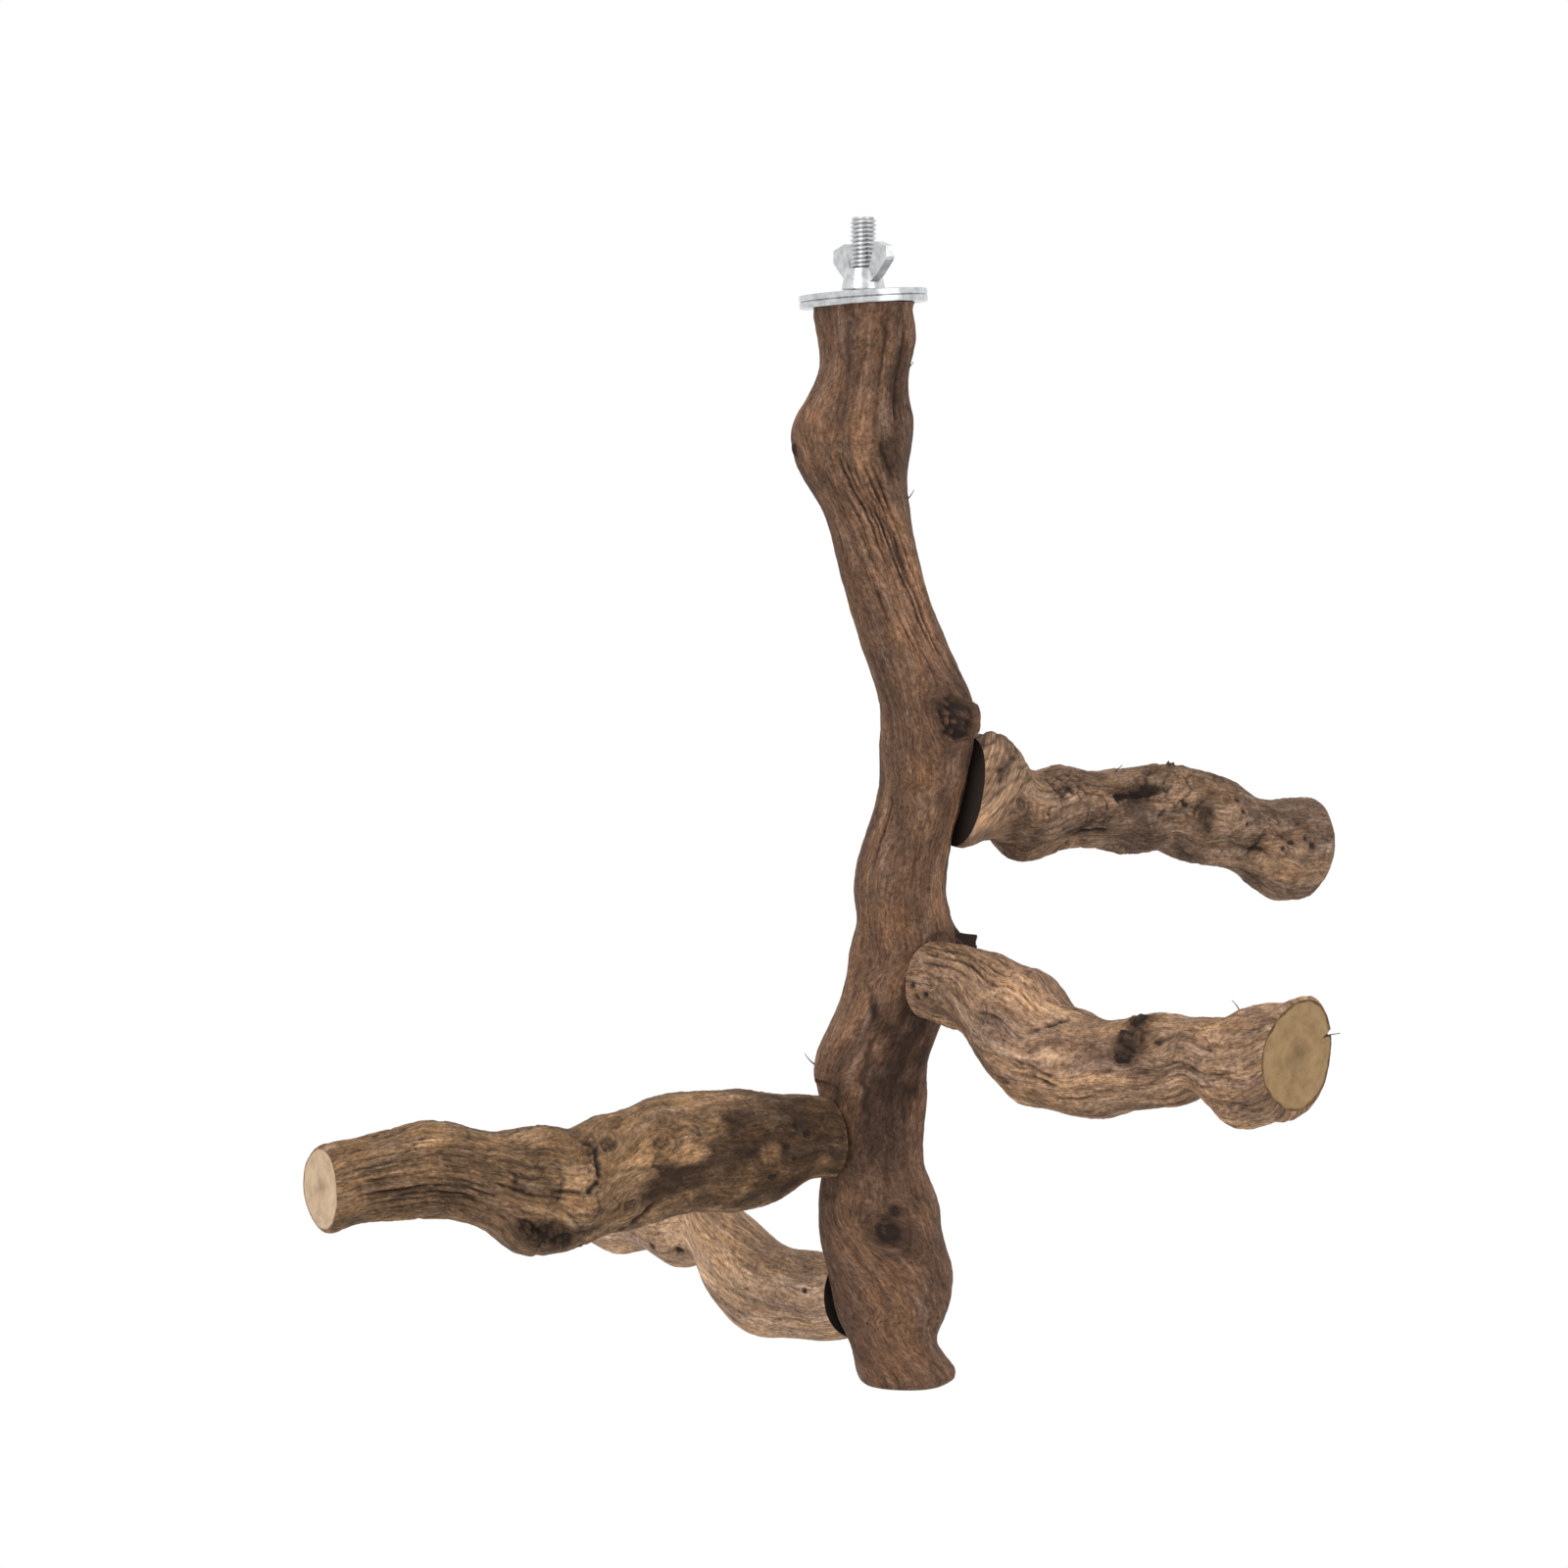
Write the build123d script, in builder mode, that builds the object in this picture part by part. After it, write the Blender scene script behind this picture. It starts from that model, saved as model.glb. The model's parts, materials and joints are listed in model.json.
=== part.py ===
"""Hanging bird perch: a gnarled hardwood trunk with four branches, clamped to a cage by a wing nut.

The origin is the middle of the clamping plane between the two washers, on the stud's axis.
+Z runs up the stud, +X to the right of the perch's front and +Y to its back. Millimetres and degrees.
"""

import math
import os

from build123d import *

os.makedirs("parts", exist_ok=True)

# Trunk
trunk_length = 254.7
trunk_diameter = 24.0
trunk_foot_round = 0.8

# Upper right branch, which leans back
upper_right_length = 99.5
upper_right_diameter = 23.0
upper_right_round = 2.2
upper_right_heading = 25.0
upper_right_rise = -10.0
upper_right_seat_share = 0.447

# Middle right branch, which comes forward and bends twice
middle_right_length = 93.0
middle_right_diameter = 23.0
middle_right_rim = 0.5
middle_right_heading = -50.0
middle_right_rise = -4.0
middle_right_seat_share = 0.617

# Left front branch
left_front_length = 126.0
left_front_diameter = 25.0
left_front_rim = 0.5
left_front_heading = 206.0
left_front_rise = 0.0
left_front_seat_share = 0.767

# Left rear branch, which climbs behind the left front one
left_rear_length = 85.0
left_rear_diameter = 22.5
left_rear_rim = 0.8
left_rear_heading = 145.0
left_rear_rise = -8.0
left_rear_seat_share = 0.926

# Branch seats on the trunk, and the double-ended screws that hold the branches there
seat_depth = 0.5
seat_relief = 14.0
screw_diameter = 5.0
screw_in_trunk = 13.0
screw_in_branch = 17.0
screw_point = 4.0

# Hanger bolt: a machine-threaded stud above, a wood-screw shank below
stud_diameter = 6.0
stud_reach = 18.9
stud_chamfer = 0.6
shank_diameter = 5.4
shank_length = 40.0
shank_point = 7.0

# Washers, which tilt with the trunk's slanting top
washer_diameter = 30.0
washer_thickness = 1.5
washer_edge = 0.2
washer_play = 0.3
clamp_tilt = 3.8

# Wing nut
nut_base_diameter = 10.4
nut_top_diameter = 8.4
nut_height = 5.0
nut_edge = 0.4
wing_span = 24.5
wing_height = 11.0
wing_thickness = 2.2
wing_corner = 1.6
nut_heading = -60.0

# Knots: radius and height of the collar that each stands on
burl_radius = 6.0
burl_height = 1.6
eye_knot_radius = 4.2
eye_knot_height = 0.8
stub_radius = 2.6
stub_height = 4.2
bend_knot_radius = 3.4
bend_knot_height = 1.6

# Split in the middle right branch's sawn end
split_width = 2.4
split_depth = 3.6
split_run = 9.0
split_heading = 22.0

# Clearances, and the overrun that carries a cut clear of a face
screw_clearance = 0.05
seat_clearance = 0.05
swing_clearance = 0.4
thread_clearance = 0.06
nut_clearance = 0.05
cut_overrun = 3.0

# Cross-sections: three soft lobes that wind slowly round the limb, with more points where folds are drawn
outline_points = 12
folded_points = 24
lobe_count = 3
lobe_share = 0.035
trunk_twist_share = 0.9
branch_twist_share = 0.5

# Trunk from its slanting top to its foot. Each row is down in shares of the length, then right, back,
# width and depth in shares of the diameter. The first row is above the saw cut.
trunk_shares = [
    (-0.014, 0.01, 0.00, 1.08, 1.05),
    (0.010, 0.00, 0.00, 0.97, 1.00),
    (0.046, 0.02, 0.01, 0.89, 0.94),
    (0.078, -0.03, 0.02, 0.95, 0.97),
    (0.101, -0.08, 0.02, 1.15, 1.02),
    (0.124, -0.10, 0.02, 1.19, 1.05),
    (0.148, -0.08, 0.01, 1.08, 1.02),
    (0.175, 0.00, 0.00, 0.92, 0.96),
    (0.205, 0.09, -0.01, 0.84, 0.91),
    (0.255, 0.22, -0.02, 0.81, 0.86),
    (0.307, 0.38, -0.02, 0.84, 0.87),
    (0.348, 0.54, -0.01, 0.91, 0.91),
    (0.376, 0.62, 0.00, 0.94, 0.94),
    (0.404, 0.61, 0.01, 0.92, 0.92),
    (0.447, 0.57, 0.01, 0.85, 0.90),
    (0.500, 0.43, 0.00, 0.88, 0.92),
    (0.540, 0.38, -0.01, 0.92, 0.96),
    (0.570, 0.43, -0.02, 0.97, 0.98),
    (0.594, 0.43, -0.01, 1.08, 0.99),
    (0.617, 0.37, 0.00, 1.03, 1.00),
    (0.660, 0.23, 0.00, 1.07, 1.02),
    (0.704, 0.07, 0.01, 1.12, 1.03),
    (0.736, 0.09, 0.01, 1.08, 1.01),
    (0.767, 0.09, 0.00, 1.00, 1.00),
    (0.799, 0.11, -0.01, 1.03, 1.04),
    (0.829, 0.16, -0.01, 1.17, 1.13),
    (0.870, 0.22, 0.00, 1.23, 1.18),
    (0.903, 0.31, 0.01, 1.23, 1.18),
    (0.926, 0.32, 0.01, 1.15, 1.13),
    (0.950, 0.31, 0.00, 0.96, 1.00),
    (0.970, 0.36, 0.00, 0.90, 0.96),
    (1.000, 0.42, 0.00, 0.83, 0.90),
]

# Branches from seat to tip. Each row is along in shares of the length, then to the side, up, width
# and height in shares of the diameter. The first row is behind the saw cut.
upper_right_shares = [
    (-0.040, 0.00, -0.02, 1.05, 1.10),
    (0.000, 0.00, 0.00, 1.10, 1.16),
    (0.030, 0.00, 0.03, 1.15, 1.24),
    (0.080, 0.01, 0.09, 1.14, 1.13),
    (0.130, 0.02, 0.01, 1.10, 0.98),
    (0.165, 0.03, -0.10, 1.05, 0.94),
    (0.200, 0.03, -0.11, 1.01, 0.91),
    (0.245, 0.01, -0.05, 0.97, 0.94),
    (0.300, -0.02, 0.01, 0.93, 0.88),
    (0.355, -0.04, 0.03, 0.90, 0.82),
    (0.410, -0.03, 0.05, 0.88, 0.82),
    (0.460, 0.00, 0.06, 0.89, 0.88),
    (0.515, 0.03, 0.10, 0.92, 0.88),
    (0.570, 0.05, 0.15, 0.95, 0.89),
    (0.625, 0.05, 0.13, 0.97, 0.95),
    (0.685, 0.03, 0.12, 0.96, 0.95),
    (0.745, 0.01, 0.10, 0.93, 0.89),
    (0.800, 0.00, 0.04, 0.94, 0.84),
    (0.860, 0.00, -0.04, 1.02, 0.94),
    (0.925, 0.01, -0.07, 1.09, 1.08),
    (0.970, 0.01, -0.05, 1.11, 1.12),
    (1.000, 0.01, -0.03, 1.10, 1.10),
]
middle_right_shares = [
    (-0.040, 0.00, 0.00, 0.83, 0.82),
    (0.000, 0.00, 0.00, 0.82, 0.81),
    (0.055, 0.00, 0.00, 0.82, 0.80),
    (0.110, 0.00, 0.00, 0.86, 0.81),
    (0.160, 0.02, -0.02, 0.92, 0.83),
    (0.210, 0.07, -0.13, 0.98, 0.98),
    (0.260, 0.13, -0.30, 1.03, 1.20),
    (0.315, 0.19, -0.42, 1.05, 1.32),
    (0.370, 0.26, -0.55, 1.03, 1.09),
    (0.425, 0.33, -0.58, 1.00, 1.05),
    (0.475, 0.39, -0.61, 0.98, 1.02),
    (0.530, 0.46, -0.58, 0.96, 1.00),
    (0.580, 0.52, -0.49, 0.93, 0.94),
    (0.630, 0.58, -0.43, 0.92, 0.95),
    (0.680, 0.64, -0.38, 0.90, 0.94),
    (0.730, 0.71, -0.35, 0.88, 0.88),
    (0.778, 0.77, -0.27, 0.89, 0.78),
    (0.827, 0.83, -0.31, 0.95, 0.96),
    (0.875, 0.89, -0.31, 1.02, 1.21),
    (0.925, 0.95, -0.26, 1.05, 1.20),
    (0.965, 1.00, -0.21, 1.05, 1.18),
    (1.000, 1.04, -0.13, 1.03, 1.13),
]
left_front_shares = [
    (-0.040, 0.00, 0.00, 0.79, 0.78),
    (0.000, 0.00, 0.00, 0.80, 0.79),
    (0.065, 0.00, 0.02, 0.87, 0.85),
    (0.110, 0.01, -0.02, 0.97, 0.99),
    (0.155, 0.01, -0.02, 1.05, 1.10),
    (0.230, 0.02, -0.01, 1.10, 1.13),
    (0.310, 0.01, -0.01, 1.09, 1.12),
    (0.370, -0.01, -0.06, 1.06, 1.10),
    (0.425, -0.03, -0.14, 1.04, 1.05),
    (0.470, -0.05, -0.19, 1.05, 1.08),
    (0.515, -0.06, -0.26, 1.08, 1.10),
    (0.560, -0.05, -0.26, 1.10, 1.14),
    (0.605, -0.03, -0.25, 1.08, 1.14),
    (0.645, -0.01, -0.22, 1.02, 1.06),
    (0.680, 0.00, -0.13, 0.95, 0.93),
    (0.715, 0.01, -0.06, 0.90, 0.87),
    (0.755, 0.01, 0.00, 0.88, 0.87),
    (0.810, 0.00, 0.03, 0.87, 0.86),
    (0.865, -0.01, 0.01, 0.83, 0.81),
    (0.925, -0.01, -0.01, 0.79, 0.76),
    (0.965, 0.00, -0.04, 0.78, 0.77),
    (1.000, 0.00, -0.07, 0.77, 0.78),
]
left_rear_shares = [
    (-0.040, 0.00, 0.00, 0.87, 0.89),
    (0.000, 0.00, 0.00, 0.88, 0.90),
    (0.060, 0.00, -0.01, 0.91, 0.91),
    (0.155, 0.00, 0.04, 0.96, 0.95),
    (0.240, 0.01, 0.09, 1.01, 1.01),
    (0.305, 0.02, 0.20, 1.04, 1.17),
    (0.365, 0.03, 0.38, 1.05, 1.21),
    (0.415, 0.03, 0.60, 1.04, 1.11),
    (0.465, 0.03, 0.89, 1.02, 0.94),
    (0.530, 0.02, 0.90, 1.00, 1.13),
    (0.630, 0.00, 0.98, 0.98, 1.04),
    (0.740, -0.02, 1.04, 0.96, 0.99),
    (0.850, -0.02, 1.09, 0.94, 0.96),
    (0.940, -0.01, 1.13, 0.91, 0.92),
    (1.000, 0.00, 1.15, 0.89, 0.90),
]

# Folds and hollows of the two most gnarled branches. Each row is along in shares of the length, heading
# round the branch and lean from its run in degrees, then run, breadth and height in shares of the diameter.
upper_right_fold_shares = [
    (0.110, 180, 108, 0.75, 0.19, -0.050),
    (0.205, 180, 105, 0.70, 0.20, 0.040),
    (0.200, 255, 0, 0.35, 0.22, 0.045),
    (0.310, 232, -12, 0.42, 0.13, -0.045),
    (0.430, 194, 0, 0.35, 0.18, 0.035),
    (0.450, 262, 0, 0.25, 0.20, 0.030),
    (0.478, 152, 4, 0.42, 0.14, -0.065),
    (0.530, 100, 10, 0.30, 0.20, 0.040),
    (0.580, 216, 60, 0.40, 0.17, -0.040),
    (0.650, 178, 80, 0.30, 0.17, -0.055),
    (0.722, 182, 0, 0.24, 0.22, 0.060),
    (0.830, 112, 80, 0.40, 0.18, -0.035),
    (0.930, 115, 0, 0.30, 0.30, 0.030),
    (0.300, 20, 70, 0.60, 0.18, -0.045),
    (0.400, 42, 0, 0.40, 0.20, 0.045),
    (0.550, -20, 60, 0.50, 0.18, -0.045),
    (0.640, 15, 0, 0.35, 0.20, 0.040),
    (0.770, 5, 80, 0.40, 0.18, -0.040),
]
left_front_fold_shares = [
    (0.160, 45, 0, 0.40, 0.35, 0.025),
    (0.250, 32, 55, 0.50, 0.17, -0.038),
    (0.315, 12, 25, 0.38, 0.15, -0.040),
    (0.352, -16, 60, 0.30, 0.17, -0.035),
    (0.400, -36, 0, 0.22, 0.20, 0.040),
    (0.430, -52, 20, 0.42, 0.13, 0.035),
    (0.478, 38, 66, 0.46, 0.16, -0.048),
    (0.525, 34, 66, 0.46, 0.17, 0.034),
    (0.600, -62, 0, 0.40, 0.28, 0.050),
    (0.670, 60, -10, 0.60, 0.12, -0.030),
    (0.785, 72, 0, 0.30, 0.28, 0.045),
    (0.780, -36, 0, 1.00, 0.12, -0.032),
    (0.800, 40, -4, 0.90, 0.11, -0.026),
    (0.820, 4, 3, 1.00, 0.11, -0.032),
    (0.300, 180, 65, 0.60, 0.17, -0.042),
    (0.450, 205, 0, 0.45, 0.20, 0.042),
    (0.560, 150, 60, 0.50, 0.17, -0.042),
    (0.700, 222, 0, 0.35, 0.25, 0.035),
    (0.800, 172, 0, 1.00, 0.12, -0.030),
    (0.810, 128, 3, 0.90, 0.12, -0.028),
]

# Wing outline, from the nut's skirt out to the tip and back to its top. Each point is outward in shares
# of half the span and up in shares of the wing's height.
wing_shares = [
    (0.28, 0.10),
    (0.62, 0.30),
    (0.98, 0.62),
    (0.96, 0.88),
    (0.56, 1.00),
    (0.36, 0.46),
    (0.28, 0.42),
]

# Knots: down the trunk, or along the middle right branch, in shares of the length, and heading in degrees
burl_share = 0.379
burl_heading = -34.0
eye_knot_share = 0.857
eye_knot_heading = -79.0
stub_share = 0.588
stub_heading = 8.0
bend_knot_share = 0.63
bend_knot_heading = 150.0
knot_top_share = 0.72
knot_root_share = 0.9
knot_pith_share = 0.42


def outline_point(width, height, turn, angle):
    """Point of a lobed cross-section at an angle of its ellipse, all angles in radians."""
    swell = 1 + lobe_share * math.cos(lobe_count * (angle - turn))
    return width / 2 * swell * math.cos(angle), height / 2 * swell * math.sin(angle)


def even_steps(count):
    """Angles of a full turn in even steps, in radians."""
    return [2 * math.pi * step / count for step in range(count)]


def limb_section(plane, width, height, turn, rises=(0,) * outline_points):
    """Closed, softly lobed cross-section of a limb, raised by its folds in shares of its size."""
    points = [Vector(*outline_point(width, height, turn, angle)) for angle in even_steps(len(rises))]
    with BuildSketch(plane) as section:
        with BuildLine():
            Spline(*[point * (1 + rise) for point, rise in zip(points, rises)], periodic=True)
        make_face()
    return section.sketch


def fold_rise(fold, along, length_in_diameters, angle):
    """How far a fold raises a branch's side at a place on it, in shares of its radius."""
    place, heading, lean, run, breadth, height = fold
    down = (along - place) * length_in_diameters
    turn = (angle - math.radians(heading) + math.pi) % (2 * math.pi) - math.pi
    slant = math.radians(lean)
    with_fold = (down * math.cos(slant) + turn / 2 * math.sin(slant)) / run
    across_fold = (turn / 2 * math.cos(slant) - down * math.sin(slant)) / breadth
    return 2 * height * math.exp(-with_fold ** 2 - across_fold ** 2)


def side_seat(plane, width, height, turn, heading, rise, depth):
    """Plane that faces out of a limb's side, below its bark by a depth, from the limb's section there."""
    facing = math.radians(heading)
    climb = math.radians(rise)
    angle = math.atan2(width * math.sin(facing), height * math.cos(facing))
    reach = math.hypot(*outline_point(width, height, turn, angle)) - depth
    outward = plane.x_dir * math.cos(facing) + plane.y_dir * math.sin(facing)
    normal = outward * math.cos(climb) + plane.z_dir * math.sin(climb)
    return Plane(origin=plane.origin + outward * reach, x_dir=plane.z_dir.cross(outward), z_dir=normal)


def trunk_row(down_share):
    """The trunk's table at a height, read between its rows."""
    for above, below in zip(trunk_shares, trunk_shares[1:]):
        if below[0] >= down_share:
            part_way = (down_share - above[0]) / (below[0] - above[0])
            return [high + (low - high) * part_way for high, low in zip(above, below)]
    return trunk_shares[-1]


def trunk_outline(down_share):
    """The trunk's level section at a height: its plane, width, depth and the turn of its lobes."""
    down, right, back, width, depth = trunk_row(down_share)
    height = -washer_thickness - down * trunk_length
    plane = Plane(origin=(right * trunk_diameter, back * trunk_diameter, height))
    return plane, width * trunk_diameter, depth * trunk_diameter, 2 * math.pi * trunk_twist_share * down


def branch_outlines(seat, length, diameter, shares):
    """A branch's sections, each square to its screw: plane, width, height and the turn of the lobes."""
    outlines = []
    for along, side, up, width, height in shares:
        centre = seat.from_local_coords(Vector(side * diameter, up * diameter, along * length))
        plane = Plane(origin=centre, x_dir=seat.x_dir, z_dir=seat.z_dir)
        turn = 2 * math.pi * branch_twist_share * along
        outlines.append((plane, width * diameter, height * diameter, turn))
    return outlines


def folded_outlines(seat, length, diameter, shares, fold_shares):
    """A gnarled branch's sections, with the rise of its folds at each point of them."""
    outlines = []
    for row, outline in zip(shares, branch_outlines(seat, length, diameter, shares)):
        rises = []
        for angle in even_steps(folded_points):
            rises.append(sum(fold_rise(fold, row[0], length / diameter, angle) for fold in fold_shares))
        outlines.append((*outline, rises))
    return outlines


def seat_radius(length, diameter, shares):
    """Radius that a branch needs round its screw, close to the trunk, to be turned freely."""
    widest = 0
    for along, side, up, width, height in shares:
        if along * length <= seat_relief:
            swollen = max(width, height) / 2 * (1 + lobe_share)
            widest = max(widest, diameter * (math.hypot(side, up) + swollen))
    return widest + swing_clearance


def raise_knot(outline, heading, radius, height):
    """Stand the collar of a dead twig on a limb's side, with its pith sunk in the middle."""
    root = radius * knot_root_share
    pith = radius * knot_pith_share
    with Locations(side_seat(*outline, heading, 0, root)):
        Cone(radius, radius * knot_top_share, root + height, align=(Align.CENTER, Align.CENTER, Align.MIN))
    with Locations(side_seat(*outline, heading, 0, -height)):
        Cone(pith * knot_pith_share, pith, height, mode=Mode.SUBTRACT)


def bore_for_screw(seat, depth):
    """Sink the hole for a branch's screw, out of the seat or, with a negative depth, into it."""
    with BuildSketch(seat) as mouth:
        Circle(screw_diameter / 2 + screw_clearance)
    extrude(mouth.sketch, amount=depth, mode=Mode.SUBTRACT)


def sawn_edges(limb, seat):
    """Edges of the end of a branch that is furthest from its seat."""
    return limb.faces().filter_by(GeomType.PLANE).sort_by_distance(seat.origin)[-1].edges()


def axial_plane(frame):
    """Plane through a frame's own Z, which runs up it, to draw a turned profile on."""
    return Plane(origin=frame.origin, x_dir=frame.x_dir, z_dir=-frame.y_dir)


def finish(piece, name):
    """Label a finished piece and write it to its file."""
    piece.label = name
    export_step(piece, f"parts/{name}.step")


def branch_seat(down_share, heading, rise):
    """Flat on the trunk's side that a branch is screwed to, facing out along the screw."""
    return side_seat(*trunk_outline(down_share), heading, rise, seat_depth)


# Places that several pieces share
clamp_plane = Plane.XY.rotated((0, -clamp_tilt, 0))
tilt_slope = math.tan(math.radians(clamp_tilt))
upper_right_seat = branch_seat(upper_right_seat_share, upper_right_heading, upper_right_rise)
middle_right_seat = branch_seat(middle_right_seat_share, middle_right_heading, middle_right_rise)
left_front_seat = branch_seat(left_front_seat_share, left_front_heading, left_front_rise)
left_rear_seat = branch_seat(left_rear_seat_share, left_rear_heading, left_rear_rise)
flats = [
    (upper_right_seat, seat_radius(upper_right_length, upper_right_diameter, upper_right_shares)),
    (middle_right_seat, seat_radius(middle_right_length, middle_right_diameter, middle_right_shares)),
    (left_front_seat, seat_radius(left_front_length, left_front_diameter, left_front_shares)),
    (left_rear_seat, seat_radius(left_rear_length, left_rear_diameter, left_rear_shares)),
]

# Trunk, with a sawn top, a flat and a screw hole for each branch, and a hole for the hanger bolt
with BuildPart() as trunk:
    loft(sections=[limb_section(*trunk_outline(row[0])) for row in trunk_shares])
    split(bisect_by=clamp_plane.offset(-washer_thickness), keep=Keep.BOTTOM)
    fillet(trunk.edges().group_by(Axis.Z)[0], trunk_foot_round)
    raise_knot(trunk_outline(burl_share), burl_heading, burl_radius, burl_height)
    raise_knot(trunk_outline(eye_knot_share), eye_knot_heading, eye_knot_radius, eye_knot_height)
    raise_knot(trunk_outline(stub_share), stub_heading, stub_radius, stub_height)
    for seat, radius in flats:
        with BuildSketch(seat):
            Circle(radius)
        extrude(amount=seat_relief, mode=Mode.SUBTRACT)
        bore_for_screw(seat, -screw_in_trunk - screw_clearance)
    with BuildSketch(Plane.XY):
        Circle(shank_diameter / 2 + screw_clearance)
    extrude(amount=-washer_thickness - shank_length - screw_clearance, mode=Mode.SUBTRACT)
finish(trunk.part, "trunk")

# Branches, each bored for its screw at the flat end that meets the trunk
upper_right_base = upper_right_seat.offset(seat_clearance)
upper_right_outlines = folded_outlines(
    upper_right_base, upper_right_length, upper_right_diameter, upper_right_shares, upper_right_fold_shares
)
with BuildPart() as upper_right_branch:
    loft(sections=[limb_section(*outline) for outline in upper_right_outlines])
    split(bisect_by=upper_right_base)
    fillet(sawn_edges(upper_right_branch, upper_right_seat), upper_right_round)
    bore_for_screw(upper_right_seat, screw_in_branch + screw_clearance)
finish(upper_right_branch.part, "upper_right_branch")

middle_right_base = middle_right_seat.offset(seat_clearance)
middle_right_outlines = branch_outlines(
    middle_right_base, middle_right_length, middle_right_diameter, middle_right_shares
)
rows_to_knot = [row for row in middle_right_shares if row[0] < bend_knot_share]
bend_knot_outline = middle_right_outlines[len(rows_to_knot)]
middle_right_tip, tip_width, _, _ = middle_right_outlines[-1]
split_reach = tip_width / 2 + cut_overrun
with BuildPart() as middle_right_branch:
    loft(sections=[limb_section(*outline) for outline in middle_right_outlines])
    split(bisect_by=middle_right_base)
    chamfer(sawn_edges(middle_right_branch, middle_right_seat), middle_right_rim)
    raise_knot(bend_knot_outline, bend_knot_heading, bend_knot_radius, bend_knot_height)
    with BuildSketch(middle_right_tip):
        Polygon(
            (tip_width / 2 - split_depth, 0),
            (split_reach, -split_width / 2),
            (split_reach, split_width / 2),
            rotation=split_heading,
            align=None,
        )
    extrude(amount=-split_run, mode=Mode.SUBTRACT)
    bore_for_screw(middle_right_seat, screw_in_branch + screw_clearance)
finish(middle_right_branch.part, "middle_right_branch")

left_front_base = left_front_seat.offset(seat_clearance)
left_front_outlines = folded_outlines(
    left_front_base, left_front_length, left_front_diameter, left_front_shares, left_front_fold_shares
)
with BuildPart() as left_front_branch:
    loft(sections=[limb_section(*outline) for outline in left_front_outlines])
    split(bisect_by=left_front_base)
    chamfer(sawn_edges(left_front_branch, left_front_seat), left_front_rim)
    bore_for_screw(left_front_seat, screw_in_branch + screw_clearance)
finish(left_front_branch.part, "left_front_branch")

left_rear_base = left_rear_seat.offset(seat_clearance)
left_rear_outlines = branch_outlines(
    left_rear_base, left_rear_length, left_rear_diameter, left_rear_shares
)
with BuildPart() as left_rear_branch:
    loft(sections=[limb_section(*outline) for outline in left_rear_outlines])
    split(bisect_by=left_rear_base)
    chamfer(sawn_edges(left_rear_branch, left_rear_seat), left_rear_rim)
    bore_for_screw(left_rear_seat, screw_in_branch + screw_clearance)
finish(left_rear_branch.part, "left_rear_branch")

# Double-ended screws, hidden in the trunk and the branches
screw_seats = {
    "upper_right_screw": upper_right_seat,
    "middle_right_screw": middle_right_seat,
    "left_front_screw": left_front_seat,
    "left_rear_screw": left_rear_seat,
}
for screw_name, seat in screw_seats.items():
    with BuildPart() as branch_screw:
        with BuildSketch(axial_plane(seat)):
            Polygon(
                (0, -screw_in_trunk),
                (screw_diameter / 2, screw_point - screw_in_trunk),
                (screw_diameter / 2, screw_in_branch - screw_point),
                (0, screw_in_branch),
                align=None,
            )
        revolve(axis=Axis(seat.origin, seat.z_dir))
    finish(branch_screw.part, screw_name)

# Hanger bolt, plain where its threads are cut
stud_foot = stud_diameter / 2 * tilt_slope + screw_clearance - washer_thickness
shank_end = -washer_thickness - shank_length
with BuildPart() as hanger_bolt:
    with BuildSketch(Plane.XZ):
        Polygon(
            (0, stud_reach),
            (stud_diameter / 2 - stud_chamfer, stud_reach),
            (stud_diameter / 2, stud_reach - stud_chamfer),
            (stud_diameter / 2, stud_foot),
            (shank_diameter / 2, stud_foot),
            (shank_diameter / 2, shank_end + shank_point),
            (0, shank_end),
            align=None,
        )
    revolve(axis=Axis.Z)
finish(hanger_bolt.part, "hanger_bolt")

# Washers, one on the trunk's top and one under the nut
washer_planes = {
    "lower_washer": clamp_plane.offset(-washer_thickness),
    "upper_washer": clamp_plane.offset(seat_clearance),
}
for washer_name, face in washer_planes.items():
    with BuildPart() as washer:
        with BuildSketch(face):
            Circle(washer_diameter / 2)
            Circle(stud_diameter / 2 + washer_play, mode=Mode.SUBTRACT)
        extrude(amount=washer_thickness)
        chamfer(washer.edges().filter_by(GeomType.CIRCLE), washer_edge)
    finish(washer.part, washer_name)

# Wing nut, resting on the high side of the upper washer
nut_seat = (seat_clearance + washer_thickness) / math.cos(math.radians(clamp_tilt))
nut_foot = nut_seat + nut_base_diameter / 2 * tilt_slope + nut_clearance
nut_frame = Plane.XY.offset(nut_foot).rotated((0, 0, nut_heading))
nut_bore = stud_diameter / 2 + thread_clearance
with BuildPart() as wing_nut:
    with BuildSketch(axial_plane(nut_frame)):
        Polygon(
            (nut_bore, 0),
            (nut_base_diameter / 2, 0),
            (nut_top_diameter / 2, nut_height),
            (nut_bore, nut_height),
            align=None,
        )
    revolve(axis=Axis.Z)
    fillet(wing_nut.edges().filter_by(GeomType.CIRCLE).group_by(SortBy.RADIUS)[-1], nut_edge)
    with BuildSketch(axial_plane(nut_frame)) as wings:
        Polygon(*[(out * wing_span / 2, up * wing_height) for out, up in wing_shares], align=None)
        fillet(wings.vertices().group_by(Axis.X)[-1], wing_corner)
        mirror(about=Plane.YZ)
    extrude(amount=wing_thickness / 2, both=True)
finish(wing_nut.part, "wing_nut")
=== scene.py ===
"""Dress the hanging bird perch: weathered limbs with grain, cracks, knots and sawn ends, and a zinc clamp.

Each limb is a fine tube wrapped on its solid, row by row, and then carved along its grain. Metres, in the
solids' own frame. Tables of places on a limb are shares of its length and headings round it in degrees.
"""

import itertools
import json
import math

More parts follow.
